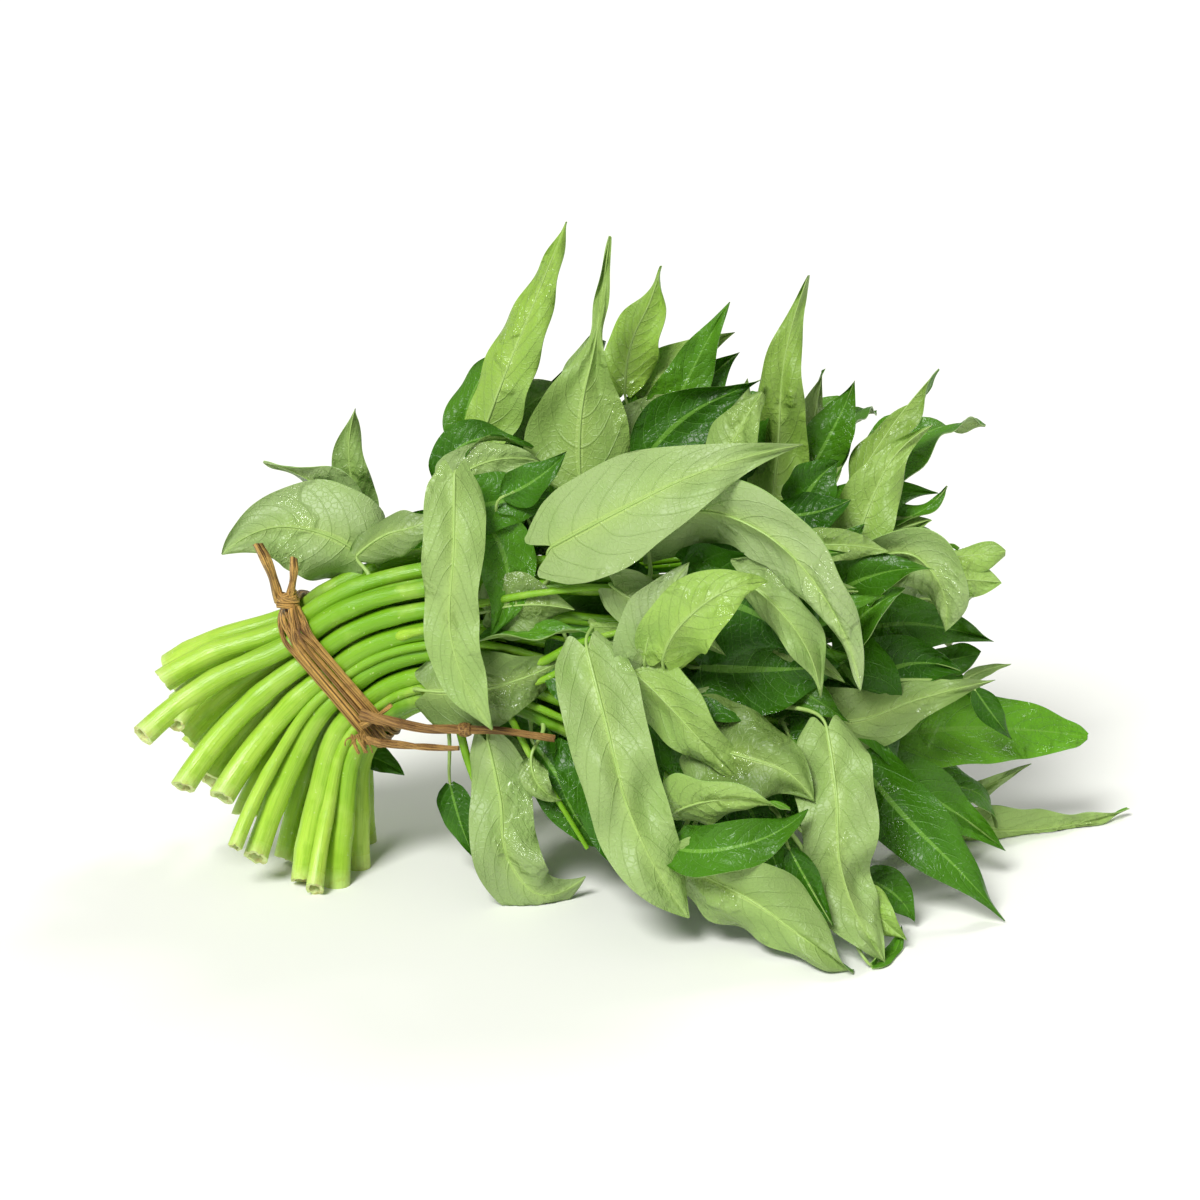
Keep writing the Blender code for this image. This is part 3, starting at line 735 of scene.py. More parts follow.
# %% Side shoots
SIDE_SHOOTS = (  # the stem it leaves, the X it leaves at, and where it ends
    (4, 20, (84, -29, 111)),
    (5, 40, (108, -44, 130)),
    (3, 66, (112, -56, 116)),
    (2, 60, (120, -52, 110)),
    (1, 30, (62, -34, 22)),
    (1, 46, (99, -50, 24)),
)
for number, (stem, x, end) in enumerate(SIDE_SHOOTS, start=1):
    centres, radii = stem_lines[stem - 1]
    at = np.abs(centres[:, 0] - x).argmin()
    start = centres[at]
    growing = headings(centres)[at]
    bent = start + growing * 13 + (0, -5.5, 1.5)
    shares = np.linspace(0, 1, 30)
    radii = np.interp(shares, (0, 0.10, 0.20, 1), (0.5, 2.3, 1.8, 1.0)) * dice.uniform(0.85, 1.15)
    bm = bmesh.new()
    way = follow([start, bent, (bent + end) / 2 + (0, -2, 2), end], shares)
    tube(bm, way, radii * 2, radii * 2, 12, UPWARDS)
    add_piece(f"side_shoot_{number}", bm, "stem", fresh=dice.uniform(0.5, 0.9), cut=0.0)
print(len(SIDE_SHOOTS), "side shoots")

# %% [markdown]
# ## The shape of a leaf
# A leaf is a blade on a stalk. Its outline widens quickly from an arrow-shaped base and tapers to a long
# point. The blade is laid along a curve, the rib, and bent up on both sides of it, more or less, as a gutter.
# Two sheets a leaf's thickness apart, bridged along their edges, give it a real thickness and let its two
# faces have their own materials. Between the veins the blade swells a little, and its edge ripples.

# %% Outlines of the leaves
# Share of the half width at shares of the length; LOBES is how far the base reaches back, as a share of it.
OUTLINES = {
    "arrow": ((0, 0.56), (0.04, 0.80), (0.10, 0.94), (0.22, 1), (0.42, 0.86), (0.62, 0.58), (0.80, 0.28),
              (0.93, 0.09), (1, 0.01)),
    "broad": ((0, 0.54), (0.05, 0.82), (0.12, 0.96), (0.28, 1), (0.50, 0.86), (0.72, 0.55), (0.88, 0.26),
              (0.96, 0.10), (1, 0.01)),
    "lance": ((0, 0.30), (0.05, 0.60), (0.12, 0.82), (0.30, 1), (0.50, 0.88), (0.70, 0.56), (0.86, 0.25),
              (0.95, 0.09), (1, 0.01)),
    "whip": ((0, 0.40), (0.04, 0.82), (0.08, 0.98), (0.17, 1), (0.32, 0.72), (0.46, 0.30), (0.56, 0.12),
             (0.72, 0.12), (1, 0.02)),
    "strap": ((0, 0.20), (0.08, 0.62), (0.25, 0.86), (0.45, 0.95), (0.65, 1), (0.82, 0.70), (0.94, 0.28),
              (1, 0.02)),
    "tongue": ((0, 0.46), (0.05, 0.76), (0.12, 0.91), (0.24, 0.97), (0.45, 0.97), (0.68, 0.93), (0.84, 0.64),
               (0.94, 0.27), (1, 0.02)),
    "blunt": ((0, 0.50), (0.05, 0.76), (0.12, 0.91), (0.28, 1), (0.52, 0.94), (0.74, 0.74), (0.90, 0.46),
              (0.97, 0.26), (1, 0.08)),
}
LOBES = {"arrow": 0.12, "broad": 0.10, "lance": 0.04, "whip": 0.08, "strap": 0.02, "tongue": 0.06,
         "blunt": 0.08}
BLADE_THICKNESS = 0.5
STALK_DIAMETER = 2.1
RIB_DIAMETER = 1.2


def half_width(outline, shares):
    """The share of the half width at shares of the length."""
    knots, widths = np.array(OUTLINES[outline], float).T
    i = np.clip(np.searchsorted(knots, shares, side="right") - 1, 0, len(knots) - 2)
    step = knots[i + 1] - knots[i]
    u = np.clip((shares - knots[i]) / step, 0, 1)
    return cubic(u, step, widths, np.gradient(widths, knots), i)


# %% Placing the points of a blade
RIPPLE = 24  # length of the waves along a blade's edge, mm


def turned(side, other, turn):
    """Two sideways directions, turned together about the curve's own by an angle at each point."""
    cos, sin = np.cos(turn)[:, None], np.sin(turn)[:, None]
    return side * cos + other * sin, other * cos - side * sin


def blade_frame(form, shares):
    """The rib's places and the blade's sideways and upward directions at shares of the length."""
    places = follow(form["rib"], shares)
    ahead = follow(form["rib"], np.clip(shares, 0, 0.98) + 0.01)
    here = follow(form["rib"], np.clip(shares, 0, 0.98))
    run = unit(ahead - here)
    side = unit(np.cross(form["face"], run))
    up = np.cross(run, side)
    turn = np.radians(form["twist"]) * np.clip(shares, 0, 1)
    places = places + up * (form["curl"] * np.clip((shares - 0.55) / 0.45, 0, 1) ** 2)[:, None]
    return places, *turned(side, up, turn)


def crumple(form, along, out):
    """Soft dents of a limp leaf, in mm above the smooth blade; none on the rib."""
    x = along * form["length"]
    y = out * form["width"] / 2
    dents = np.zeros_like(x)
    for heading, spacing, start, depth in form["dents"]:
        dents += depth * spacing * np.sin((x * math.cos(heading) + y * math.sin(heading)) / spacing + start)
    return dents * np.clip(np.abs(out) * 2.4, 0, 1) * np.clip(along * 8, 0, 1) * np.clip(9 - 9 * along, 0, 1)


def blade_points(form, along, out, layer):
    """Points of the blade; along runs from base to tip, out from edge (-1) to edge (1)."""
    aside = np.abs(out)
    start, wave, hand = form["phase"], form["wave"], np.sign(out)
    # its lobes reach back past the end of the rib
    at = along - LOBES[form["outline"]] * (1 - along) ** 4 * np.sin(2.5 * aside**1.2)
    places, side, up = blade_frame(form, at)
    # its two halves are not quite alike
    wobble = 1 + 0.05 * np.sin(7 * along + start) + 0.03 * np.sin(17 * along + 2 * start) * hand
    half = half_width(form["outline"], along) * form["width"] / 2 * wobble
    # each half bends up from the rib along an arc
    cup = np.where(out < 0, form["cup"][0], form["cup"][1])
    cup = cup * (1 + 0.6 * np.sin(5.2 * along + start * 2)) + 14 * np.sin(7 * along + 3 * start + out)
    bend = np.radians(np.where(np.abs(cup) < 0.5, 0.5, cup))
    across = half * np.sin(bend * aside) / bend * hand
    rise = half * (1 - np.cos(bend * aside)) / bend
    # its edge ripples, and the whole blade waves
    rise += wave * aside**3 * np.sin(math.tau * along * form["length"] / RIPPLE + start + hand)
    rise += wave * 0.7 * aside * np.sin(5 * along + start * 3 + 1.5 * out)
    # it swells between its side veins
    phase = along * VEINS - VEIN_SWEEP * aside**VEIN_BEND
    near = np.abs(phase - np.round(phase))
    swell = (0.5 - np.exp(-((near / 0.16) ** 2))) * 0.55
    swell *= np.clip(aside * 5, 0, 1) * np.clip(4 * (1 - aside), 0, 1) * np.clip(half / 8, 0, 1)
    rise += swell + crumple(form, along, out) + layer * BLADE_THICKNESS / 2
    return places + side * across[:, None] + up * rise[:, None]


# %% Stalks
PAST_TIE = 14  # stalks leave the stems to the right of this X
STALK_ROOT = 0.6  # how far from a stem's middle its stalk starts, as a share of the radius
STALK_BEND = 10  # most that a stalk runs straight before its leaf, mm
STALK_POINTS, RIB_POINTS = 13, 26


def nearest_stem(point):
    """The nearest place on a stem past the tie, and the way that a stalk leaves it."""
    best = None
    for centres, radii in stem_lines:
        past = centres[:, 0] > PAST_TIE
        gaps = np.linalg.norm(centres[past] - point, axis=1) - radii[past]
        least = int(gaps.argmin())
        if best is None or gaps[least] < best[0]:
            best = (gaps[least], centres[past][least], radii[past][least], headings(centres)[past][least])
    _, place, radius, growing = best
    out = unit(point - place)
    return place + out * radius * STALK_ROOT, unit(out + growing)


def strand(form):
    """The way of a leaf's stalk and rib, and their radii; the stalk is one smooth bend from its stem."""
    base = follow(form["rib"], [0.0])[0]
    ahead = unit(follow(form["rib"], [0.03])[0] - base)
    start, leaving = nearest_stem(base - ahead * 8)
    reach = np.linalg.norm(base - start)
    pulled = start + leaving * reach * 0.40
    pushed = base - ahead * min(reach * 0.35, STALK_BEND)
    t = np.linspace(0, 1, STALK_POINTS + 1)[:-1, None]
    stalk = (1 - t) ** 3 * start + 3 * (1 - t) ** 2 * t * pulled + 3 * (1 - t) * t**2 * pushed + t**3 * base
    shares = np.linspace(0, 0.985, RIB_POINTS)
    places, _, up = blade_frame(form, shares)
    radii = np.interp(shares, (0, 0.3, 1), (RIB_DIAMETER / 2, RIB_DIAMETER * 0.36, 0.18))
    rib = places - up * (radii * 0.62)[:, None]
    thinning = np.linspace(STALK_DIAMETER / 2, RIB_DIAMETER / 2, STALK_POINTS)
    return np.vstack([stalk, rib]), np.concatenate([thinning, radii])


# %% A whole leaf
FINE, COARSE, SMALL = (56, 18), (30, 12), (22, 8)  # rows and columns of a blade that is near, far or young
DENTS = 7  # soft waves that cross each leaf
TIP_CURL = 3.5  # most that a leaf's tip bends off the line of its rib
leaf_dice = random.Random(23)
curl_dice = random.Random(31)


def leaf_form(rib, width, face, outline, cup=15, twist=0, wave=1.5, limp=1.0):
    """Everything that shapes a leaf; limp is how deep its dents are."""
    cup = (cup * leaf_dice.uniform(0.5, 1.4), cup * leaf_dice.uniform(0.5, 1.4))
    rib = np.array(rib, float)
    twist = twist + leaf_dice.uniform(-14, 14)
    dents = [(leaf_dice.uniform(0, math.pi), leaf_dice.uniform(2.8, 10), leaf_dice.uniform(0, math.tau),
              leaf_dice.uniform(0.05, 0.17) * limp) for _ in range(DENTS)]
    curl = curl_dice.uniform(-TIP_CURL, TIP_CURL)
    return {"rib": rib, "width": width, "curl": curl, "face": unit(face), "outline": outline, "cup": cup,
            "twist": twist, "wave": wave, "dents": dents, "length": curve_length(rib),
            "phase": leaf_dice.uniform(0, math.tau)}


def add_leaf(bm, form, tone, warm, size=FINE):
    """Adds one leaf, blade, rib and stalk, to a mesh."""
    layers = []
    for layer, look in ((1, UPPER), (-1, UNDER)):
        corners, along, around = sheet(bm, *size)
        places = blade_points(form, along, around * 2 - 1, layer)
        places[:, 2] = np.maximum(places[:, 2], BLADE_THICKNESS * (1.5 + layer / 2))
        put(corners, places)
        blade = faces_of(corners)
        for face in blade:
            face.material_index = look
        layers.append(blade)
    rim = [e for blade in layers for f in blade for e in f.edges if e.is_boundary]
    edge = bmesh.ops.bridge_loops(bm, edges=list(set(rim)))["faces"]
    for face in edge:
        face.material_index = EDGE
    way, radii = strand(form)
    way[:, 2] = np.maximum(way[:, 2], radii + 0.1)
    tube(bm, way, radii * 2, radii * 2, 8, blade_frame(form, np.array([0.0]))[1][0], look=RIB)
    # how bright the leaf is, with a low value painting shade, and how yellow it is
    stamp(bm, tone=tone, warm=warm)


# %% [markdown]
# ## The leaves one sees
# Each row of this list is one leaf: its name, the points that its rib runs through from base to tip, its
# width, the way its upper side faces, its outline, how bright and how yellow it is, and what else is
# special about it. A low brightness paints shade on leaves deep in the bundle or under others. Most leaves
# near the front show their pale underside. Names that the solids have too stand for those solids; the
# other leaves fill the bundle between them.

# %% The list of leaves
OFF = (0, 1, -0.3)  # upper side away from the front and down: the pale underside shows
ON = (0, -1, 0.3)  # upper side to the front

# leaves with a low brightness, such as shaded_low, arch_shadow and the behind_ and gap_ leaves, are darkened
# as painted shade
LEAVES = (
    ("left_hood", ((8, 4, 129), (-9, 4, 138), (-26, 3, 140), (-46, -2, 130)),
     42, (0.1, 0.9, -0.2), "broad", 0.95, 0.1, {"cup": 18, "limp": 1.4}),
    ("left_curl", ((2, 12, 131), (-2, 16, 148), (-14, 16, 157), (-30, 16, 165)),
     20, (0, 0.9, 0.4), "lance", 0.8, 0.0, {"cup": 20}),
    ("left_spike", ((10, 24, 134), (5, 25, 148), (3, 26, 165), (6, 26, 183)),
     18, (0, 1, -0.3), "lance", 0.15, 0.0, {"cup": 20}),
    ("left_roll", ((8, -5, 131), (19, -8, 140), (33, -10, 145), (42, -8, 150)),
     24, (0.2, 0.7, -0.5), "lance", 0.35, 0.1, {"cup": 45}),
    ("tall_bright", ((55, 15, 168), (65, 18, 195), (78, 20, 227), (92, 20, 260)),
     26, (0.35, 0.95, -0.3), "lance", 0.85, 0.9, {"cup": 22}),
    ("tall_behind", ((50, 30, 165), (52, 32, 185), (69, 34, 207)),
     18, (-0.5, -0.9, 0.2), "lance", 0.4, 0.1, {"cup": 20}),
    ("whip", ((96, 0, 163), (97, 5, 190), (102, 10, 213), (105, 14, 234), (108, 14, 256)),
     44, OFF, "whip", 0.65, 0.6, {"cup": 12}),
    ("whip_behind", ((93, 22, 183), (97, 24, 199), (100, 24, 213)),
     18, OFF, "broad", 0.4, 0.3, {"cup": 20}),
    ("grey_behind", ((68, 25, 174), (78, 26, 186), (94, 26, 190)),
     20, OFF, "broad", 0.35, 0.0, {"cup": 20}),
    ("top_bright", ((114, 28, 189), (117, 30, 210), (124, 30, 226), (128, 30, 240)),
     22, (0.3, 0.95, -0.3), "lance", 1.0, 0.9, {"twist": -15}),
    ("pair_back", ((120, 34, 183), (136, 35, 199), (158, 35, 212)),
     20, OFF, "lance", 0.8, 0.8, {"cup": 20}),
    ("pair_front", ((126, 22, 167), (137, 25, 191), (155, 28, 226)),
     22, (-0.2, -0.9, 0.3), "lance", 0.55, 0.2, {"cup": 18}),
    ("dark_fold", ((124, 5, 171), (142, 8, 187), (157, 10, 194), (168, 10, 199)),
     26, (0.2, -0.9, 0.3), "arrow", 0.1, 0.2, {"cup": 30}),
    ("tall_right", ((173, 10, 149), (175, 14, 173), (177, 16, 205), (186, 18, 239)),
     25, (0.2, 0.95, -0.2), "arrow", 0.6, 0.9, {}),
    ("tall_right_front", ((152, -5, 166), (161, 0, 185), (168, 4, 195)),
     24, (0.5, 0.9, -0.2), "lance", 0.85, 0.5, {"cup": 20}),
    ("hero_flat", ((86, -45, 147), (108, -58, 163), (141, -66, 182), (181, -60, 192)),
     40, (0.15, 0.95, -0.35), "arrow", 1.0, 0.15, {"cup": 10, "wave": 0.6}),
    ("hero_arch", ((124, -40, 150), (142, -52, 163), (165, -66, 159), (187, -76, 139), (203, -80, 102)),
     34, (0.2, 0.85, 0.3), "broad", 1.0, 0.05, {"cup": 12, "wave": 0.8, "limp": 1.5}),
    ("hanging_left", ((48, -34, 172), (48, -44, 148), (47, -50, 110), (62, -54, 76)),
     24, OFF, "tongue", 0.95, 0.35, {}),
    ("hanging_dark", ((62, -25, 147), (68, -32, 133), (62, -36, 109)),
     24, ON, "broad", 0.45, 0.2, {"cup": 25}),
    ("shaded_low", ((36, -28, 82), (60, -36, 86), (92, -38, 100)),
     34, OFF, "broad", 0.12, 0.1, {}),
    ("shaded_high", ((60, -34, 117), (76, -38, 121), (94, -38, 119)),
     26, OFF, "broad", 0.12, 0.1, {"cup": 25}),
    ("crown_dark", ((41, -5, 164), (50, -6, 176), (65, -4, 179), (78, 0, 174)),
     18, (0.3, -0.5, 0.9), "lance", 0.1, 0.2, {"cup": 50}),
    ("crown_pale", ((45, -12, 162), (61, -14, 172), (80, -10, 171)),
     20, OFF, "broad", 0.8, 0.1, {"cup": 20}),
    ("crown_low", ((53, -16, 153), (69, -20, 158), (88, -16, 157)),
     24, ON, "broad", 0.2, 0.2, {"cup": 20}),
    ("crown_point", ((67, -24, 161), (79, -26, 168), (91, -26, 179)),
     16, (0.2, -0.9, 0.4), "lance", 0.15, 0.2, {"cup": 25}),
    ("right_fold", ((202, 12, 149), (213, 16, 166), (225, 20, 183), (240, 22, 199)),
     22, (0.8, 0.5, -0.3), "lance", 0.5, 0.9, {"cup": 50}),
    ("right_bright", ((205, -5, 133), (212, 2, 152), (221, 6, 169), (236, 8, 181)),
     24, (0.2, 0.95, -0.2), "arrow", 0.9, 0.7, {"cup": 20}),
    ("right_small_a", ((218, 10, 140), (231, 12, 143), (243, 14, 154)),
     11, (0.2, -0.5, 0.8), "lance", 0.5, 0.5, {"cup": 30}),
    ("right_small_b", ((218, 5, 137), (228, 6, 140), (237, 8, 142)),
     10, OFF, "lance", 0.7, 0.5, {"cup": 30}),
    ("right_small_c", ((220, 8, 131), (234, 10, 133), (249, 12, 129)),
     12, (-0.1, 0.6, -0.7), "lance", 0.9, 0.7, {"cup": 30}),
    ("right_roll", ((228, 12, 122), (249, 18, 123), (268, 20, 124)),
     16, (0, 0.6, -0.8), "strap", 0.95, 0.7, {"cup": 60}),
    ("right_wide", ((231, 8, 117), (247, 14, 115), (266, 16, 113)),
     18, OFF, "strap", 1.0, 0.6, {"cup": 25}),
    ("right_tiny", ((237, 8, 108), (245, 12, 105), (254, 12, 108)),
     8, OFF, "lance", 0.8, 0.6, {"cup": 25}),
    ("right_droop", ((211, -15, 132), (227, -22, 136), (237, -26, 125), (239, -28, 106)),
     24, (0.25, 0.85, 0.35), "tongue", 0.9, 0.2, {"cup": 30, "limp": 1.8}),
    ("right_under", ((198, -20, 121), (210, -25, 123), (224, -20, 127)),
     22, OFF, "broad", 0.5, 0.2, {"cup": 30}),
    ("right_under_b", ((201, -22, 101), (209, -30, 116), (223, -30, 124)),
     20, (-0.5, -0.8, 0.4), "broad", 0.4, 0.3, {"cup": 30}),
    ("right_crown", ((183, -10, 153), (190, -6, 163), (197, -2, 168)),
     24, ON, "broad", 0.15, 0.2, {"cup": 30}),
    ("right_crown_b", ((174, -18, 151), (190, -18, 153), (202, -16, 157)),
     18, ON, "broad", 0.05, 0.2, {"cup": 30}),
    ("right_stripe", ((186, -28, 142), (201, -28, 142), (216, -26, 139)),
     14, OFF, "broad", 0.8, 0.5, {"cup": 20}),
    ("mid_dark", ((208, -20, 80), (225, -14, 88), (248, -10, 84)),
     34, ON, "arrow", 0.1, 0.2, {"cup": 25}),
    ("mid_roll", ((232, 8, 80), (246, 10, 82), (258, 12, 83)),
     14, (0, -0.7, 0.7), "strap", 0.3, 0.2, {"cup": 50}),
    ("wavy", ((182, -40, 76), (202, -44, 75), (228, -36, 81), (259, -24, 85)),
     28, OFF, "arrow", 0.55, 0.35, {"cup": 25, "wave": 2.4, "limp": 2.4}),
    ("big_right", ((208, -14, 55), (237, -6, 57), (269, 10, 52), (305, 24, 43)),
     32, (0, -0.75, 0.65), "blunt", 1.0, 0.3, {"cup": 12, "wave": 0.8}),
    ("right_tail", ((254, -14, 77), (261, -14, 67), (270, -12, 55)),
     10, ON, "lance", 0.1, 0.2, {"cup": 20}),
    ("curl_tip", ((252, 6, 75), (260, 8, 78), (270, 10, 80)),
     6, OFF, "lance", 0.9, 0.3, {"cup": 30}),
    ("thin_pale", ((251, 15, 19), (266, 22, 23), (283, 28, 30)),
     8, OFF, "lance", 0.95, 0.2, {"cup": 20}),
    ("floor_long", ((229, 0, 16), (259, 14, 6), (292, 26, 2), (327, 44, 4)),
     22, (0.2, 0.75, 0.1), "lance", 0.95, 0.45, {"cup": 20}),
    ("arch_dark", ((227, -10, 29), (245, 0, 31), (262, 8, 22), (269, 12, 7)),
     24, (0.2, -0.5, 0.8), "arrow", 0.3, 0.2, {"cup": 30}),
    ("hero_front", ((99, -62, 111), (106, -78, 88), (115, -92, 57), (138, -96, 14)),
     32, (-0.1, 0.95, -0.1), "tongue", 0.92, 0.25, {"wave": 0.9, "limp": 2.2}),
    ("two_tone", ((104, -52, 109), (123, -62, 96), (142, -72, 78), (160, -76, 59)),
     30, (0.3, 0.9, -0.1), "broad", 0.8, 0.6, {"cup": 28, "limp": 1.8}),
    ("fold_grey", ((121, -60, 105), (125, -66, 125), (138, -62, 146)),
     26, OFF, "broad", 0.8, 0.0, {"cup": 25, "limp": 1.6}),
    ("fold_bright", ((128, -66, 108), (138, -78, 130), (153, -80, 141), (168, -76, 141)),
     28, (0.35, 0.9, 0), "broad", 1.0, 0.75, {"cup": 22, "limp": 1.6}),
    ("hanging_mid", ((158, -58, 138), (171, -66, 129), (182, -70, 115), (187, -72, 94)),
     24, (0.3, 0.9, 0.1), "arrow", 0.75, 0.2, {"cup": 30, "limp": 1.6}),
    ("arch_shadow", ((139, -48, 126), (158, -50, 124), (178, -50, 109)),
     50, ON, "broad", 0.05, 0.2, {"cup": 20}),
    ("arch_shadow_b", ((143, -49, 99), (166, -51, 99), (197, -50, 100)),
     42, ON, "broad", 0.1, 0.2, {"cup": 20}),
    ("grey_mid", ((139, -62, 72), (157, -74, 72), (176, -80, 67), (185, -80, 57)),
     42, OFF, "broad", 0.05, 0.3, {"cup": 25, "limp": 1.6}),
    ("grey_mid_b", ((139, -55, 80), (152, -58, 85), (168, -56, 88)),
     22, OFF, "broad", 0.3, 0.2, {"cup": 25}),
    ("upright_pale", ((191, -66, 80), (194, -80, 60), (196, -94, 32), (212, -107, 1)),
     30, (-0.15, 0.95, 0), "tongue", 0.80, 0.25, {"cup": 30, "wave": 1.8, "limp": 2.9}),
    ("toothed", ((132, -80, 51), (147, -92, 61), (164, -94, 62), (176, -92, 56)),
     22, (0.1, 0.9, 0.3), "arrow", 0.9, 0.6, {"cup": 20}),
    ("dark_cup", ((134, -90, 40), (149, -100, 44), (168, -98, 49), (183, -92, 58)),
     22, (0.1, -0.8, 0.6), "broad", 0.3, 0.4, {"cup": 35}),
    ("front_low", ((136, -88, 32), (159, -100, 25), (178, -108, 14), (200, -113, 1)),
     34, (-0.2, 0.9, 0.3), "broad", 0.52, 0.25, {"cup": 12, "limp": 2.4}),
    ("wet_dark", ((176, -96, 42), (183, -100, 30), (192, -104, 15)),
     12, ON, "lance", 0.1, 0.2, {"cup": 30}),
    ("dark_right", ((208, -45, 55), (225, -54, 37), (243, -62, 21), (262, -68, 1)),
     30, ON, "arrow", 0.2, 0.3, {"cup": 12}),
    ("dark_small", ((208, -70, 19), (217, -72, 15), (226, -72, 3)),
     16, ON, "broad", 0.2, 0.2, {"cup": 25}),
    ("lime_small", ((203, -84, 20), (211, -90, 12), (221, -92, 4)),
     16, OFF, "broad", 1.0, 1.0, {"cup": 25}),
    ("low_small", ((207, -110, 1), (217, -96, 1), (220, -88, 8)),
     10, ON, "lance", 0.5, 0.3, {"cup": 25}),
    ("left_hanging", ((60, -38, 64), (65, -46, 43), (68, -50, 19), (80, -52, 5), (99, -46, 10)),
     26, (0.1, 0.95, 0), "tongue", 0.75, 0.1, {"cup": 22, "limp": 1.6}),
    ("left_glossy", ((78, -30, 60), (88, -40, 49), (94, -44, 36), (104, -44, 23)),
     26, ON, "broad", 0.1, 0.2, {"cup": 35}),
    ("left_flap", ((77, -44, 59), (80, -48, 50), (89, -50, 44)),
     12, OFF, "lance", 0.8, 0.3, {"cup": 20}),
    ("left_drop", ((44, -20, 39), (47, -24, 28), (54, -28, 10)),
     14, ON, "lance", 0.1, 0.2, {"cup": 25}),
    ("left_tiny", ((6, 10, 41), (16, 6, 39), (24, 4, 34)),
     12, ON, "broad", 0.1, 0.2, {"cup": 25}),
    ("oval", ((85, -15, 62), (92, -18, 64), (99, -18, 62)),
     7, OFF, "broad", 0.8, 0.3, {"cup": 20}),
    ("under_tail", ((58, -28, 63), (68, -30, 58), (78, -32, 52)),
     12, OFF, "broad", 0.6, 0.3, {"cup": 20}),
    ("edge_on", ((56, -36, 106), (73, -40, 110), (90, -42, 111), (107, -44, 112)),
     8, (0, -0.3, 1), "lance", 0.6, 0.6, {"cup": 35}),
    ("back_high", ((112, 44, 150), (140, 66, 160), (172, 88, 140), (190, 100, 104)),
     36, (0.1, -0.6, 0.8), "arrow", 0.45, 0.2, {"cup": 14}),
    ("back_low", ((150, 60, 66), (176, 82, 48), (200, 102, 26), (222, 120, 1)),
     34, (0.1, -0.9, 0.4), "arrow", 0.35, 0.2, {"cup": 14}),
    ("behind_a", ((22, 24, 118), (48, 26, 116), (78, 26, 106), (100, 26, 98)),
     44, ON, "broad", 0.15, 0.2, {}),
    ("behind_b", ((30, 26, 92), (52, 28, 84), (76, 28, 74), (98, 26, 68)),
     44, OFF, "broad", 0.15, 0.1, {}),
    ("behind_c", ((66, 28, 150), (88, 30, 142), (110, 30, 128), (132, 28, 116)),
     46, ON, "broad", 0.1, 0.2, {}),
    ("behind_d", ((84, 24, 120), (106, 26, 106), (126, 24, 88), (146, 20, 74)),
     48, ON, "broad", 0.12, 0.2, {}),
    ("behind_e", ((44, 22, 140), (62, 26, 138), (84, 26, 134), (104, 24, 128)),
     40, OFF, "broad", 0.25, 0.1, {}),
    ("behind_f", ((62, 20, 84), (76, 16, 66), (88, 10, 44), (98, 4, 18)),
     40, ON, "broad", 0.1, 0.2, {}),
    ("gap_a", ((92, -34, 104), (104, -40, 90), (118, -46, 70), (128, -50, 50)),
     36, ON, "broad", 0.15, 0.2, {}),
    ("gap_b", ((118, -46, 92), (134, -54, 76), (146, -58, 56), (154, -62, 34)),
     36, ON, "arrow", 0.12, 0.2, {}),
    ("gap_c", ((150, -50, 66), (160, -58, 48), (170, -64, 30), (176, -68, 12)),
     34, ON, "arrow", 0.1, 0.2, {}),
    ("gap_d", ((178, -48, 70), (190, -54, 52), (200, -58, 34), (208, -62, 14)),
     34, ON, "arrow", 0.15, 0.2, {}),
    ("gap_e", ((96, -50, 66), (106, -58, 48), (112, -64, 30), (124, -68, 12)),
     28, ON, "arrow", 0.1, 0.2, {}),
    ("mid_pale", ((110, -52, 132), (122, -58, 126), (138, -60, 118), (152, -60, 108)),
     22, OFF, "arrow", 0.7, 0.2, {}),
    ("arch_under", ((140, -40, 148), (162, -46, 146), (178, -48, 130), (188, -50, 114)),
     30, ON, "broad", 0.1, 0.2, {}),
    ("right_low_a", ((206, -8, 100), (226, -4, 102), (246, 0, 98), (262, 4, 92)),
     26, ON, "arrow", 0.25, 0.3, {}),
    ("right_low_b", ((214, -26, 46), (234, -28, 38), (252, -28, 26), (268, -26, 12)),
     26, ON, "arrow", 0.35, 0.3, {}),
    ("right_low_c", ((222, 4, 70), (240, 10, 68), (258, 14, 60), (276, 18, 48)),
     24, ON, "arrow", 0.3, 0.3, {}),
    ("right_high_a", ((196, 14, 140), (210, 18, 146), (224, 18, 150), (240, 18, 150)),
     22, ON, "arrow", 0.45, 0.3, {}),
    ("right_high_b", ((188, 20, 158), (196, 24, 172), (202, 26, 184), (206, 28, 194)),
     20, ON, "lance", 0.35, 0.3, {}),
    ("top_fill_a", ((84, 28, 170), (92, 32, 184), (98, 36, 196), (106, 38, 208)),
     26, ON, "arrow", 0.25, 0.3, {}),
    ("top_fill_b", ((132, 24, 172), (140, 28, 186), (150, 32, 196), (160, 34, 204)),
     28, ON, "arrow", 0.2, 0.3, {}),
    ("top_fill_c", ((150, 16, 158), (160, 20, 172), (168, 22, 184), (178, 24, 192)),
     26, ON, "arrow", 0.15, 0.3, {}),
    ("top_fill_d", ((108, 18, 160), (116, 20, 172), (126, 22, 182), (138, 24, 188)),
     28, OFF, "broad", 0.45, 0.1, {}),
)

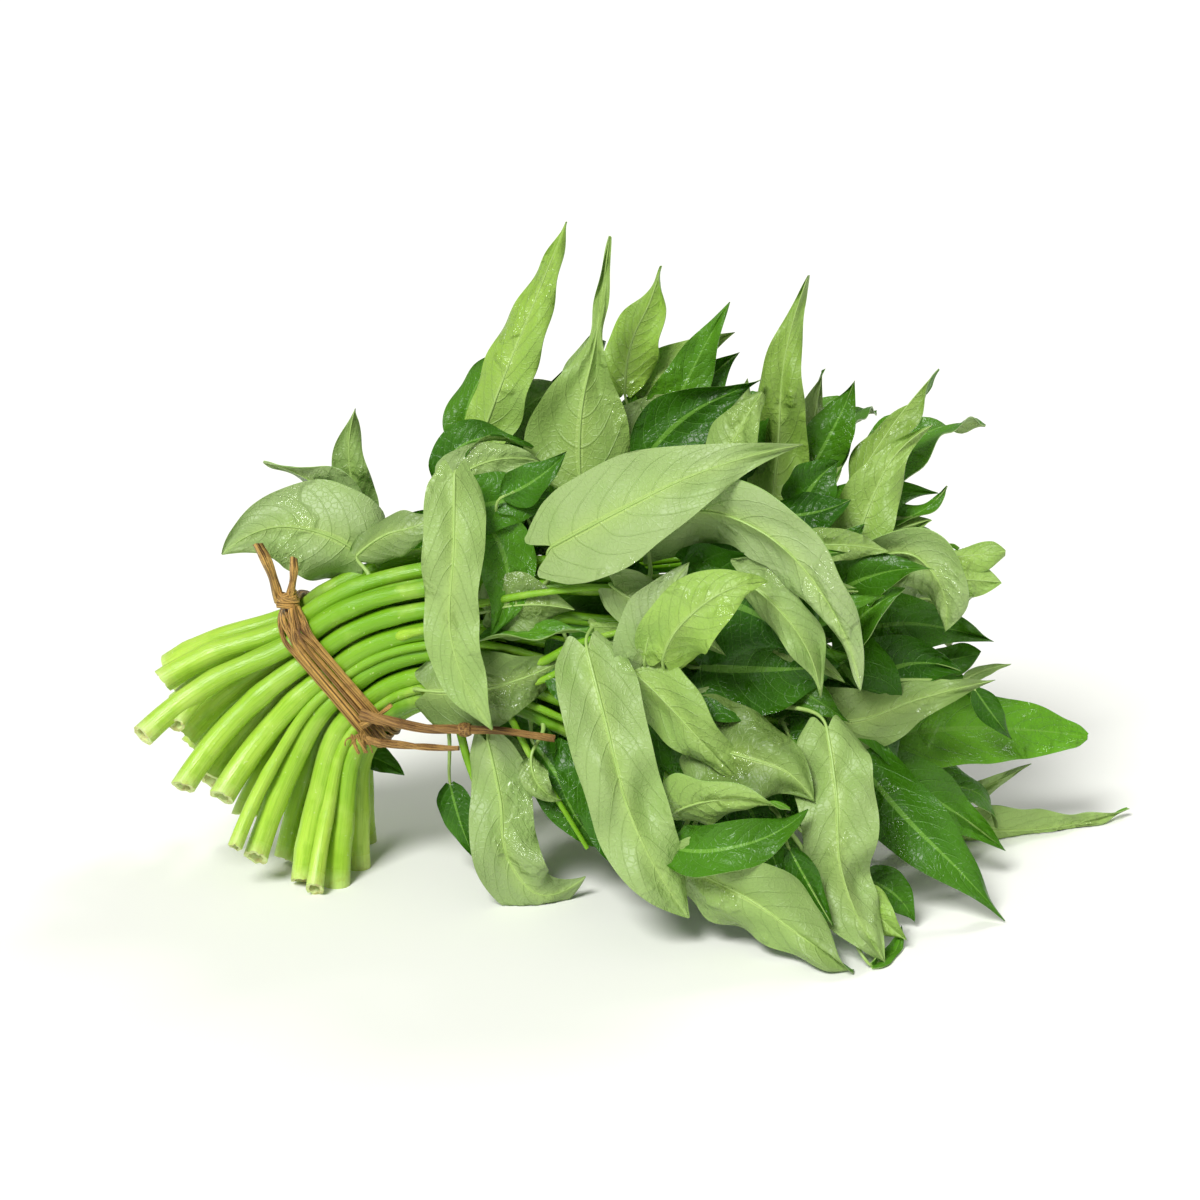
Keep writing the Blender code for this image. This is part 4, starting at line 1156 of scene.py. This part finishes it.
# %% Make them
# A leaf that stands for a solid is a piece of its own; the others join those whose names start alike.
groups = {}
for word, rib, width, face, outline, tone, warm, special in LEAVES:
    form = leaf_form(rib, width, face, outline, **special)
    solid = f"leaf_{word}"
    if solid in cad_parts:
        bm = new_mesh("tone", "warm")
        add_leaf(bm, form, tone, warm)
        add_piece(f"{solid}_blade", bm, "leaf", [solid])
    else:
        area = word.split("_")[0]
        if area not in groups:
            groups[area] = new_mesh("tone", "warm")
        add_leaf(groups[area], form, tone, warm)
for area, bm in groups.items():
    add_piece(f"leaves_{area}", bm, "leaf")
print(len(LEAVES), "leaves from the list in", len(groups), "groups and as solids' pieces")

# %% [markdown]
# ## The leaves inside and behind
# The back of the bundle grows like its front, and the inside is full of leaves that are seen only as dark
# shapes; their low brightness paints the shade inside the bundle. They need no list: a rule starts each one
# on a stem, sends it outwards, and lets it bend down with its own weight until it lies on the bench. The
# random numbers come from a fixed seed.

# %% Leaves by rule
GROWTH = random.Random(40)
BENDS = 4  # straight steps of a leaf's rib, each lower than the one before
REST_HEIGHT = 2.0  # of a rib that lies on the bench, mm
ANY = ("arrow", "broad", "lance")
WIDE = ("arrow", "broad")
UP_BACK, OUT_BACK, LOW_BACK, INWARDS = (0, -0.5, 1), (0.1, 0.7, 0.9), (0.1, 0.6, 1), (0, -1, 0.4)

GROWN = (
    # the piece, how many leaves, how bright (a low value paints shade); where they start: first and last X,
    # range of Y, range of Z; ranges of the way they leave, their length, width and droop; how they may face;
    # their outlines
    ("leaves_high_back", 10, (0.3, 1.0), (50, 215), (16, 34), (138, 158),
     ((-0.1, 0.8), (0.5, 1.1), (0.4, 1.2)), (62, 84), (24, 34), (0.18, 0.4), (UP_BACK,), ANY),
    ("leaves_middle_back", 10, (0.3, 1.0), (30, 220), (20, 36), (96, 122),
     ((0.1, 0.9), (0.6, 1.1), (-0.1, 0.5)), (66, 92), (26, 36), (0.25, 0.5), (OUT_BACK,), WIDE),
    ("leaves_low_back", 10, (0.2, 0.9), (40, 210), (18, 34), (52, 74),
     ((0.2, 1.0), (0.5, 1.0), (-0.7, -0.2)), (62, 88), (24, 34), (0.1, 0.3), (LOW_BACK,), ANY),
    # the inner leaves are given a low brightness: painted shade
    ("leaves_inside_front", 12, (0.05, 0.3), (70, 200), (-24, -6), (70, 130),
     ((0.2, 0.9), (-0.35, -0.1), (-0.9, 0.9)), (55, 75), (28, 36), (0.0, 0.25), (INWARDS,), WIDE),
    ("leaves_inside_low", 12, (0.05, 0.3), (70, 205), (-22, 12), (50, 80),
     ((0.1, 0.7), (-0.5, 0.2), -1), (48, 66), (26, 34), 0.0, (INWARDS,), WIDE),
    ("leaves_inside_high", 8, (0.1, 0.5), (60, 200), (10, 30), (138, 156),
     ((-0.2, 0.6), (0.1, 0.5), (0.7, 1.0)), (44, 62), (22, 30), (0.0, 0.15), (ON, OFF), WIDE),
)


def pick(span):
    """A number from a range, or the one number given."""
    return GROWTH.uniform(*span) if isinstance(span, tuple) else span


def free_leaf(base, heading, length, width, droop, face, outline):
    """A leaf that leaves base along heading and bends down."""
    points = [np.asarray(base, float)]
    way = unit(heading)
    for _ in range(BENDS):
        points.append(points[-1] + way * length / BENDS)
        way = unit(way - UPWARDS * droop)
    for point in points[1:]:
        point[2] = max(point[2], REST_HEIGHT)
    return leaf_form(points, width, face, outline, cup=pick((8, 30)), twist=pick((-20, 20)))


def grow(name, count, tones_and_painted_shade, across, behind, high, heading, length, width, droop, faces, outlines):
    """One piece that holds count leaves, spread over its stretch of X."""
    bm = new_mesh("tone", "warm")
    for k in range(count):
        share = (k + GROWTH.random()) / count
        base = (across[0] + (across[1] - across[0]) * share, pick(behind), pick(high))
        sizes = [pick(span) for span in (*heading, length, width, droop)]
        face = GROWTH.choice(faces) if len(faces) > 1 else faces[0]
        form = free_leaf(base, sizes[:3], *sizes[3:], face, GROWTH.choice(outlines))
        add_leaf(bm, form, pick(tones_and_painted_shade), pick((0.05, 0.5)), COARSE)
    add_piece(name, bm, "leaf")


def young_leaves(name, lines):
    """One piece that holds the two youngest leaves at the end of each of some stems."""
    bm = new_mesh("tone", "warm")
    for centres, _ in lines:
        end = centres[-1]
        growing = headings(centres)[-1]
        for side in (-1, 1):
            spread = (pick((-0.1, 0.3)), side * pick((0.1, 0.5)), side * pick((-0.1, 0.5)))
            sizes = [pick(span) for span in ((34, 52), (9, 16), (0, 0.2))]
            form = free_leaf(end - growing * 3, growing + spread, *sizes, GROWTH.choice((ON, OFF)), "lance")
            add_leaf(bm, form, pick((0.3, 0.8)), 0.4, SMALL)
    add_piece(name, bm, "leaf")


first = 0
for row, count in enumerate(STEM_ROWS, start=1):
    young_leaves(f"young_leaves_row_{row}", stem_lines[first:first + count])
    first += count
for row in GROWN:
    grow(*row)

# %% [markdown]
# ## The tie
# A reed is split, laid round the stems twice, twisted together at the top and tucked under at the front,
# where two long ends run off. A dried reed splits into strands, so each turn is several flat strands side by
# side. They follow the outline of the stems: at each angle they keep clear of the stem that reaches
# farthest, and some of them cross over the others.

# %% The outline round the stems
BAND_SIDES = 64
BAND_ANGLES = np.arange(BAND_SIDES) * math.tau / BAND_SIDES  # from the top, away from the front
BAND_BEND = 1.6  # how gently the band bends round a stem, mm


def band_loop(offset, slide, wander, seed):
    """A closed loop round the stems, offset clear of them, slide along them; and its outward directions."""
    cells = list(stem_cells())
    places, outs = [], []
    for a in BAND_ANGLES:
        support = [(u * math.cos(a) + b * math.sin(a), u, b) for u, b in cells]
        top = max(s[0] for s in support)
        weights = [math.exp((s[0] - top) / BAND_BEND) for s in support]
        up = sum(w * s[1] for w, s in zip(weights, support)) / sum(weights)
        back = sum(w * s[2] for w, s in zip(weights, support)) / sum(weights)
        reach = STEM_DIAMETER / 2 + offset + 0.3 * math.sin(a * 5 + seed * 2)
        along = slide + wander * math.sin(a + seed) + 0.35 * math.sin(a * 4 + seed * 3)
        spot = STACK_AXIS * (up + reach * math.cos(a)) + ROW_AXIS * (back + reach * math.sin(a))
        places.append(TIE_CENTRE + spot + STEM_AXIS * along)
        outs.append(STACK_AXIS * math.cos(a) + ROW_AXIS * math.sin(a))
    return np.array(places), np.array(outs)


# %% Strands round the bundle
def add_wrap(bm, offset, slide, wander, seed, width, thickness, age):
    """One closed strand of reed round all the stems."""
    places, outs = band_loop(offset, slide, wander, seed)
    sides = unit(np.cross(outs, loop_headings(places)))
    lift = 0.35 * np.sin(2 * BAND_ANGLES + seed * 4)
    sides = unit(sides + outs * lift[:, None])
    pinch = 1 + 0.20 * np.sin(3 * BAND_ANGLES + seed)
    tube(bm, places, width * pinch, thickness / pinch, 12, sides, ridges=0.10, closed=True)
    stamp(bm, age=age)


WRAPS = {  # name: solids, and each strand's offset, slide, wander, seed, width, thickness and age
    "tie_turn_lower": (["tie_band"], (
        (2.0, -4.9, 0.5, 0.4, 2.2, 1.6, 0.5), (2.4, -3.0, 0.4, 1.7, 2.5, 1.6, 0.0),
        (1.9, -1.1, 0.6, 2.9, 1.6, 1.8, 1.0))),
    "tie_turn_upper": ([], (
        (2.5, 0.9, 0.5, 0.9, 2.5, 1.6, 0.1), (1.9, 2.8, 0.4, 2.2, 1.7, 1.8, 1.0),
        (2.3, 4.7, 0.5, 3.6, 2.4, 1.6, 0.2))),
    "tie_turn_over": ([], (
        (3.6, -0.8, 3.7, 1.1, 2.5, 1.4, 0.0), (3.8, 1.3, 3.3, 1.3, 1.2, 1.3, 0.8),
        (3.2, 0.6, -3.4, 0.6, 1.5, 1.3, 0.3))),
}
for name, (solids, strands) in WRAPS.items():
    bm = new_mesh("age")
    for strand_sizes in strands:
        add_wrap(bm, *strand_sizes)
    add_piece(name, bm, "reed", solids)
print(sum(len(wrap[1]) for wrap in WRAPS.values()), "strands round the stems")


# %% Loose strips
def add_strip(bm, points, width, thickness, flat, twist=0.0, rows=30):
    """A loose strip of reed along a curve, turning by twist degrees on its way."""
    shares = np.linspace(0, 1, rows)
    places = follow(points, shares)
    runs = headings(places)
    sides = unit(np.cross(runs, np.broadcast_to(flat, runs.shape)))
    sides = turned(sides, np.cross(runs, sides), np.radians(twist) * shares)[0]
    narrow = 1 - 0.30 * shares + 0.10 * np.sin(9 * shares)
    tube(bm, places, width * narrow, thickness * narrow, 14, sides, ridges=0.12)


def calm(bm, share):
    """Stretches a pattern along a short piece, so that its fibres are as long as those of the band."""
    layer = bm.loops.layers.uv.active
    for face in bm.faces:
        for loop in face.loops:
            loop[layer].uv.x *= share


END_ROWS, BORE_ROWS, END_SIDES = 22, 6, 16  # rings up an end, rings back down inside it, points round it


def rolled_end(name, foot, head, bend, width, solids):
    """An end of reed rolled into a tube that is open at its top."""
    guide = [foot, foot * 0.5 + head * 0.5 + bend, head]
    up = np.linspace(0, 1, END_ROWS)
    shares = np.concatenate([up, np.linspace(1, 0.72, BORE_ROWS)])
    places = follow(guide, shares)
    runs = headings(follow(guide, up))
    runs = np.vstack([runs, np.repeat(runs[-1:], BORE_ROWS, axis=0)])
    outside = width / 2 * (1 + 0.10 * np.sin(11 * up) + 0.12 * up)
    radii = np.concatenate([outside, np.full(BORE_ROWS, outside[-1] * 0.62)])
    bm = bmesh.new()
    corners, along, around = sheet(bm, len(shares) - 1, END_SIDES)
    row = np.rint(along * (len(shares) - 1)).astype(int)
    across = unit(np.cross(runs, (0, 1.0, 0)))[row]
    other = np.cross(runs[row], across)
    angle = math.tau * around
    radius = radii[row] * (1 + 0.10 * np.cos(4 * angle + 1.0) * (row < END_ROWS))
    slope = 1.1 * np.cos(angle - 1.2) * np.clip((row - END_ROWS + 5) / 4, 0, 1)
    spots = ringed(places[row], across, other, angle, radius, radius * 0.8)
    put(corners, spots + runs[row] * slope[:, None])
    calm(bm, 0.2)
    close_up(bm)
    add_piece(name, bm, "reed", solids, age=0.0)


low, high = bench_box("tie_end_tall")
mid_y = (low[1] + high[1]) / 2
tall_foot = np.array((high[0] - 2.5, mid_y, low[2]))
tall_head = np.array((low[0] + 2.0, mid_y - 8, high[2] - 1.2))  # it leans forward, clear of the leaf behind
rolled_end("tie_end_tall_reed", tall_foot, tall_head, np.array((1.2, 0, 0)), 3.7, ["tie_end_tall"])
low, high = bench_box("tie_end_short")
mid_x, mid_y = (low[:2] + high[:2]) / 2
short_foot = np.array((mid_x - 1.5, mid_y, low[2]))
short_head = np.array((mid_x + 1, mid_y - 1, high[2] - 0.6))
rolled_end("tie_end_short_reed", short_foot, short_head, np.array((0.8, 0, 0)), 2.8, ["tie_end_short"])

# %% [markdown]
# ## The knot, the frayed end and the tails
# The two rolled ends come out of a small knot: three short coils round their feet, and two strips that run
# from them down to the band. At the front the reed frays into fibres. Each tail is made of dark strands
# twisted about each other, and the long one has a joint of the reed, a thick ring, near its middle.


# %% Knot and fraying
COIL_STEPS = 60
COILS = ((3.9, (0.1, 0.2, 1.0), -1.6), (3.6, (0.5, -0.1, 1.0), 0.2), (3.2, (-0.25, 0.1, 1.0), 1.4))


def winding(middle, axis, radius, turns, climb):
    """A coil round an axis."""
    side = unit(np.cross(axis, (0, 1.0, 0)))
    other = np.cross(axis, side)
    angle = np.linspace(0, math.tau * turns, COIL_STEPS)[:, None]
    rise = np.linspace(-0.5, 0.5, COIL_STEPS)[:, None] * climb
    return middle + side * radius * np.cos(angle) + other * radius * 0.7 * np.sin(angle) + axis * rise


knot_middle = (tall_foot + short_foot) / 2 + np.array((1.5, 0, 0.5))
band_top = band_loop(2.0, -0.5, 0, 0)[0][4]
bm = bmesh.new()
for radius, tilt, shift in COILS:
    coil = winding(knot_middle + UPWARDS * shift, unit(tilt), radius, 1.6, 3.0)
    tube(bm, coil, [2.0] * COIL_STEPS, [1.4] * COIL_STEPS, 10, unit(tilt), ridges=0.10)
for offset in (-1.6, 1.4):
    start = band_top + ROW_AXIS * offset
    way = [start, (start + knot_middle) / 2 + (0, offset, 2.4), knot_middle + (0, offset, 0.5)]
    add_strip(bm, way, 3.4, 1.6, (0, 0, 1))
calm(bm, 0.25)
add_piece("tie_knot", bm, "reed", age=0.1)

FIBRES = 11
fray_dice = random.Random(9)
bm = bmesh.new()
tail_low, tail_high = bench_box("tie_tail_short")
fray_root = np.array((tail_low[0] - 1, tail_high[1] - 1.5, tail_high[2] - 1))
for _ in range(FIBRES):
    away = [fray_dice.uniform(*span) for span in ((-0.5, 0.7), (-0.5, 0.1), (-1.0, -0.45))]
    start = fray_root + [fray_dice.uniform(*span) for span in ((-5, 3), (-1, 1.5), (-1, 3))]
    end = start + np.array(away) * fray_dice.uniform(3.5, 8.5)
    middle = (start + end) / 2 + (fray_dice.uniform(-1, 1), 0, 0.4)
    add_strip(bm, [start, middle, end], fray_dice.uniform(0.6, 1.7), 0.6, (0, 1, 0), rows=8)
stub_foot = fray_root + np.array((1, 0, 4))
add_strip(bm, [stub_foot, stub_foot + (6, -0.5, 4), stub_foot + (12, 0, 9)], 3.4, 2.2, (0.5, -1, -0.5), 60)
calm(bm, 0.1)
add_piece("tie_frayed_end", bm, "reed", age=0.2)


# %% Tails
def make_tail(name, points, strands, reach, age, solids, joint=None):
    """Strands of reed twisted about each other along a curve; joint is the share of the way to its ring."""
    shares = np.linspace(0, 1, 44)
    middle = follow(points, shares)
    runs = headings(middle)
    sides = carried_sides(runs, UPWARDS)
    other = np.cross(runs, sides)
    bm = bmesh.new()
    for k in range(strands):
        angle = math.tau * (k / strands + 1.2 * shares)
        off = reach * (1 - 0.5 * shares)
        places = ringed(middle, sides, other, angle, off * 0.7, off)
        taper = 1 - 0.35 * shares + 0.08 * np.sin(13 * shares + k)
        tube(bm, places, 2.7 * taper, 1.6 * taper, 10, UPWARDS, ridges=0.12)
    if joint is not None:
        ring = follow(points, np.linspace(joint - 0.03, joint + 0.03, 9))
        bulge = np.sin(np.linspace(0.15, 0.85, 9) * math.pi)
        tube(bm, ring, 3.6 + 2.4 * bulge, 3.0 + 2.0 * bulge, 14, UPWARDS, ridges=0.05)
    calm(bm, 0.4)
    add_piece(name, bm, "reed", solids, age=age)


def tail_ends(node):
    """Where a tail leaves the band and where it ends."""
    low, high = bench_box(node)
    return np.array((low[0], high[1] - 1, high[2] - 3)), np.array((high[0], low[1] + 1, low[2] + 3))


start, end = tail_ends("tie_tail_long")
way = [start, start * 0.66 + end * 0.34 + (0, -3, -1.5), start * 0.3 + end * 0.7 + (0, -2, 1), end]
make_tail("tie_tail_long_reed", way, 3, 1.5, 0.9, ["tie_tail_long"], 0.55)
start, end = tail_ends("tie_tail_short")
way = [start, (start + end) / 2 + (0, -1, -0.5), end]
make_tail("tie_tail_short_reed", way, 2, 1.0, 0.7, ["tie_tail_short"])

# %% [markdown]
# ## The bench, the light and the camera
# The bundle lies on a pale surface. The main light is a sun high at the front left, wide enough to give soft
# shadows. A weaker one from the back right lights the edges of the leaves, and a white world fills the
# shadows. The camera looks down at 18 degrees from the front, with a long lens so that near and far leaves
# keep their proportions.

# %% Bench
BENCH_REACH = 9.0  # metres from the middle to an edge
bm = bmesh.new()
bmesh.ops.create_grid(bm, x_segments=1, y_segments=1, size=BENCH_REACH)
floor_mesh = bpy.data.meshes.new("bench_top")
bm.to_mesh(floor_mesh)
bm.free()
floor = bpy.data.objects.new("bench_top", floor_mesh)
bpy.context.collection.objects.link(floor)
bench_look = Look("pale_bench")
bench_grain = bench_look.noise(bench_look.object_place(), 3.0, 2.0)
bench_color = bench_look.mix(bench_grain, (0.94, 0.945, 0.885), (0.96, 0.965, 0.905))
floor_mesh.materials.append(bench_look.finish(Base_Color=bench_color, Roughness=0.75))

# %% Light
world = bpy.data.worlds.new("soft_white")
world.use_nodes = True
background = world.node_tree.nodes["Background"]
background.inputs["Color"].default_value = (1, 1, 1, 1)
background.inputs["Strength"].default_value = 0.30
bpy.context.scene.world = world


def add_sun(name, strength, angle, direction):
    """A sun that shines along direction, soft by its angle in degrees."""
    data = bpy.data.lights.new(name, "SUN")
    data.energy = strength
    data.angle = math.radians(angle)
    sun = bpy.data.objects.new(name, data)
    sun.rotation_euler = Vector(direction).to_track_quat("-Z", "Y").to_euler()
    bpy.context.collection.objects.link(sun)


add_sun("key_light", 3.2, 22, (0.34, 0.60, -0.74))
add_sun("back_light", 0.7, 14, (-0.45, -0.55, -0.75))

# %% Camera
CAMERA_RISE = 18.0  # degrees above level
CAMERA_DISTANCE = 1300.0
CAMERA_TARGET = np.array((104.0, 0.0, 110.6))
CAMERA_LENS = 97.5  # mm, over a sensor 36 mm wide
rise = math.radians(CAMERA_RISE)
eye = CAMERA_TARGET + CAMERA_DISTANCE * np.array((0, -math.cos(rise), math.sin(rise)))
camera_data = bpy.data.cameras.new("camera")
camera_data.lens = CAMERA_LENS
camera_data.sensor_width = 36.0
camera_data.clip_end = 50.0
camera = bpy.data.objects.new("camera", camera_data)
camera.location = TO_FRAME @ Vector(eye)
camera.rotation_euler = (math.radians(90) - rise, 0, 0)
bpy.context.collection.objects.link(camera)
bpy.context.scene.camera = camera
bpy.context.scene.view_settings.view_transform = "Standard"
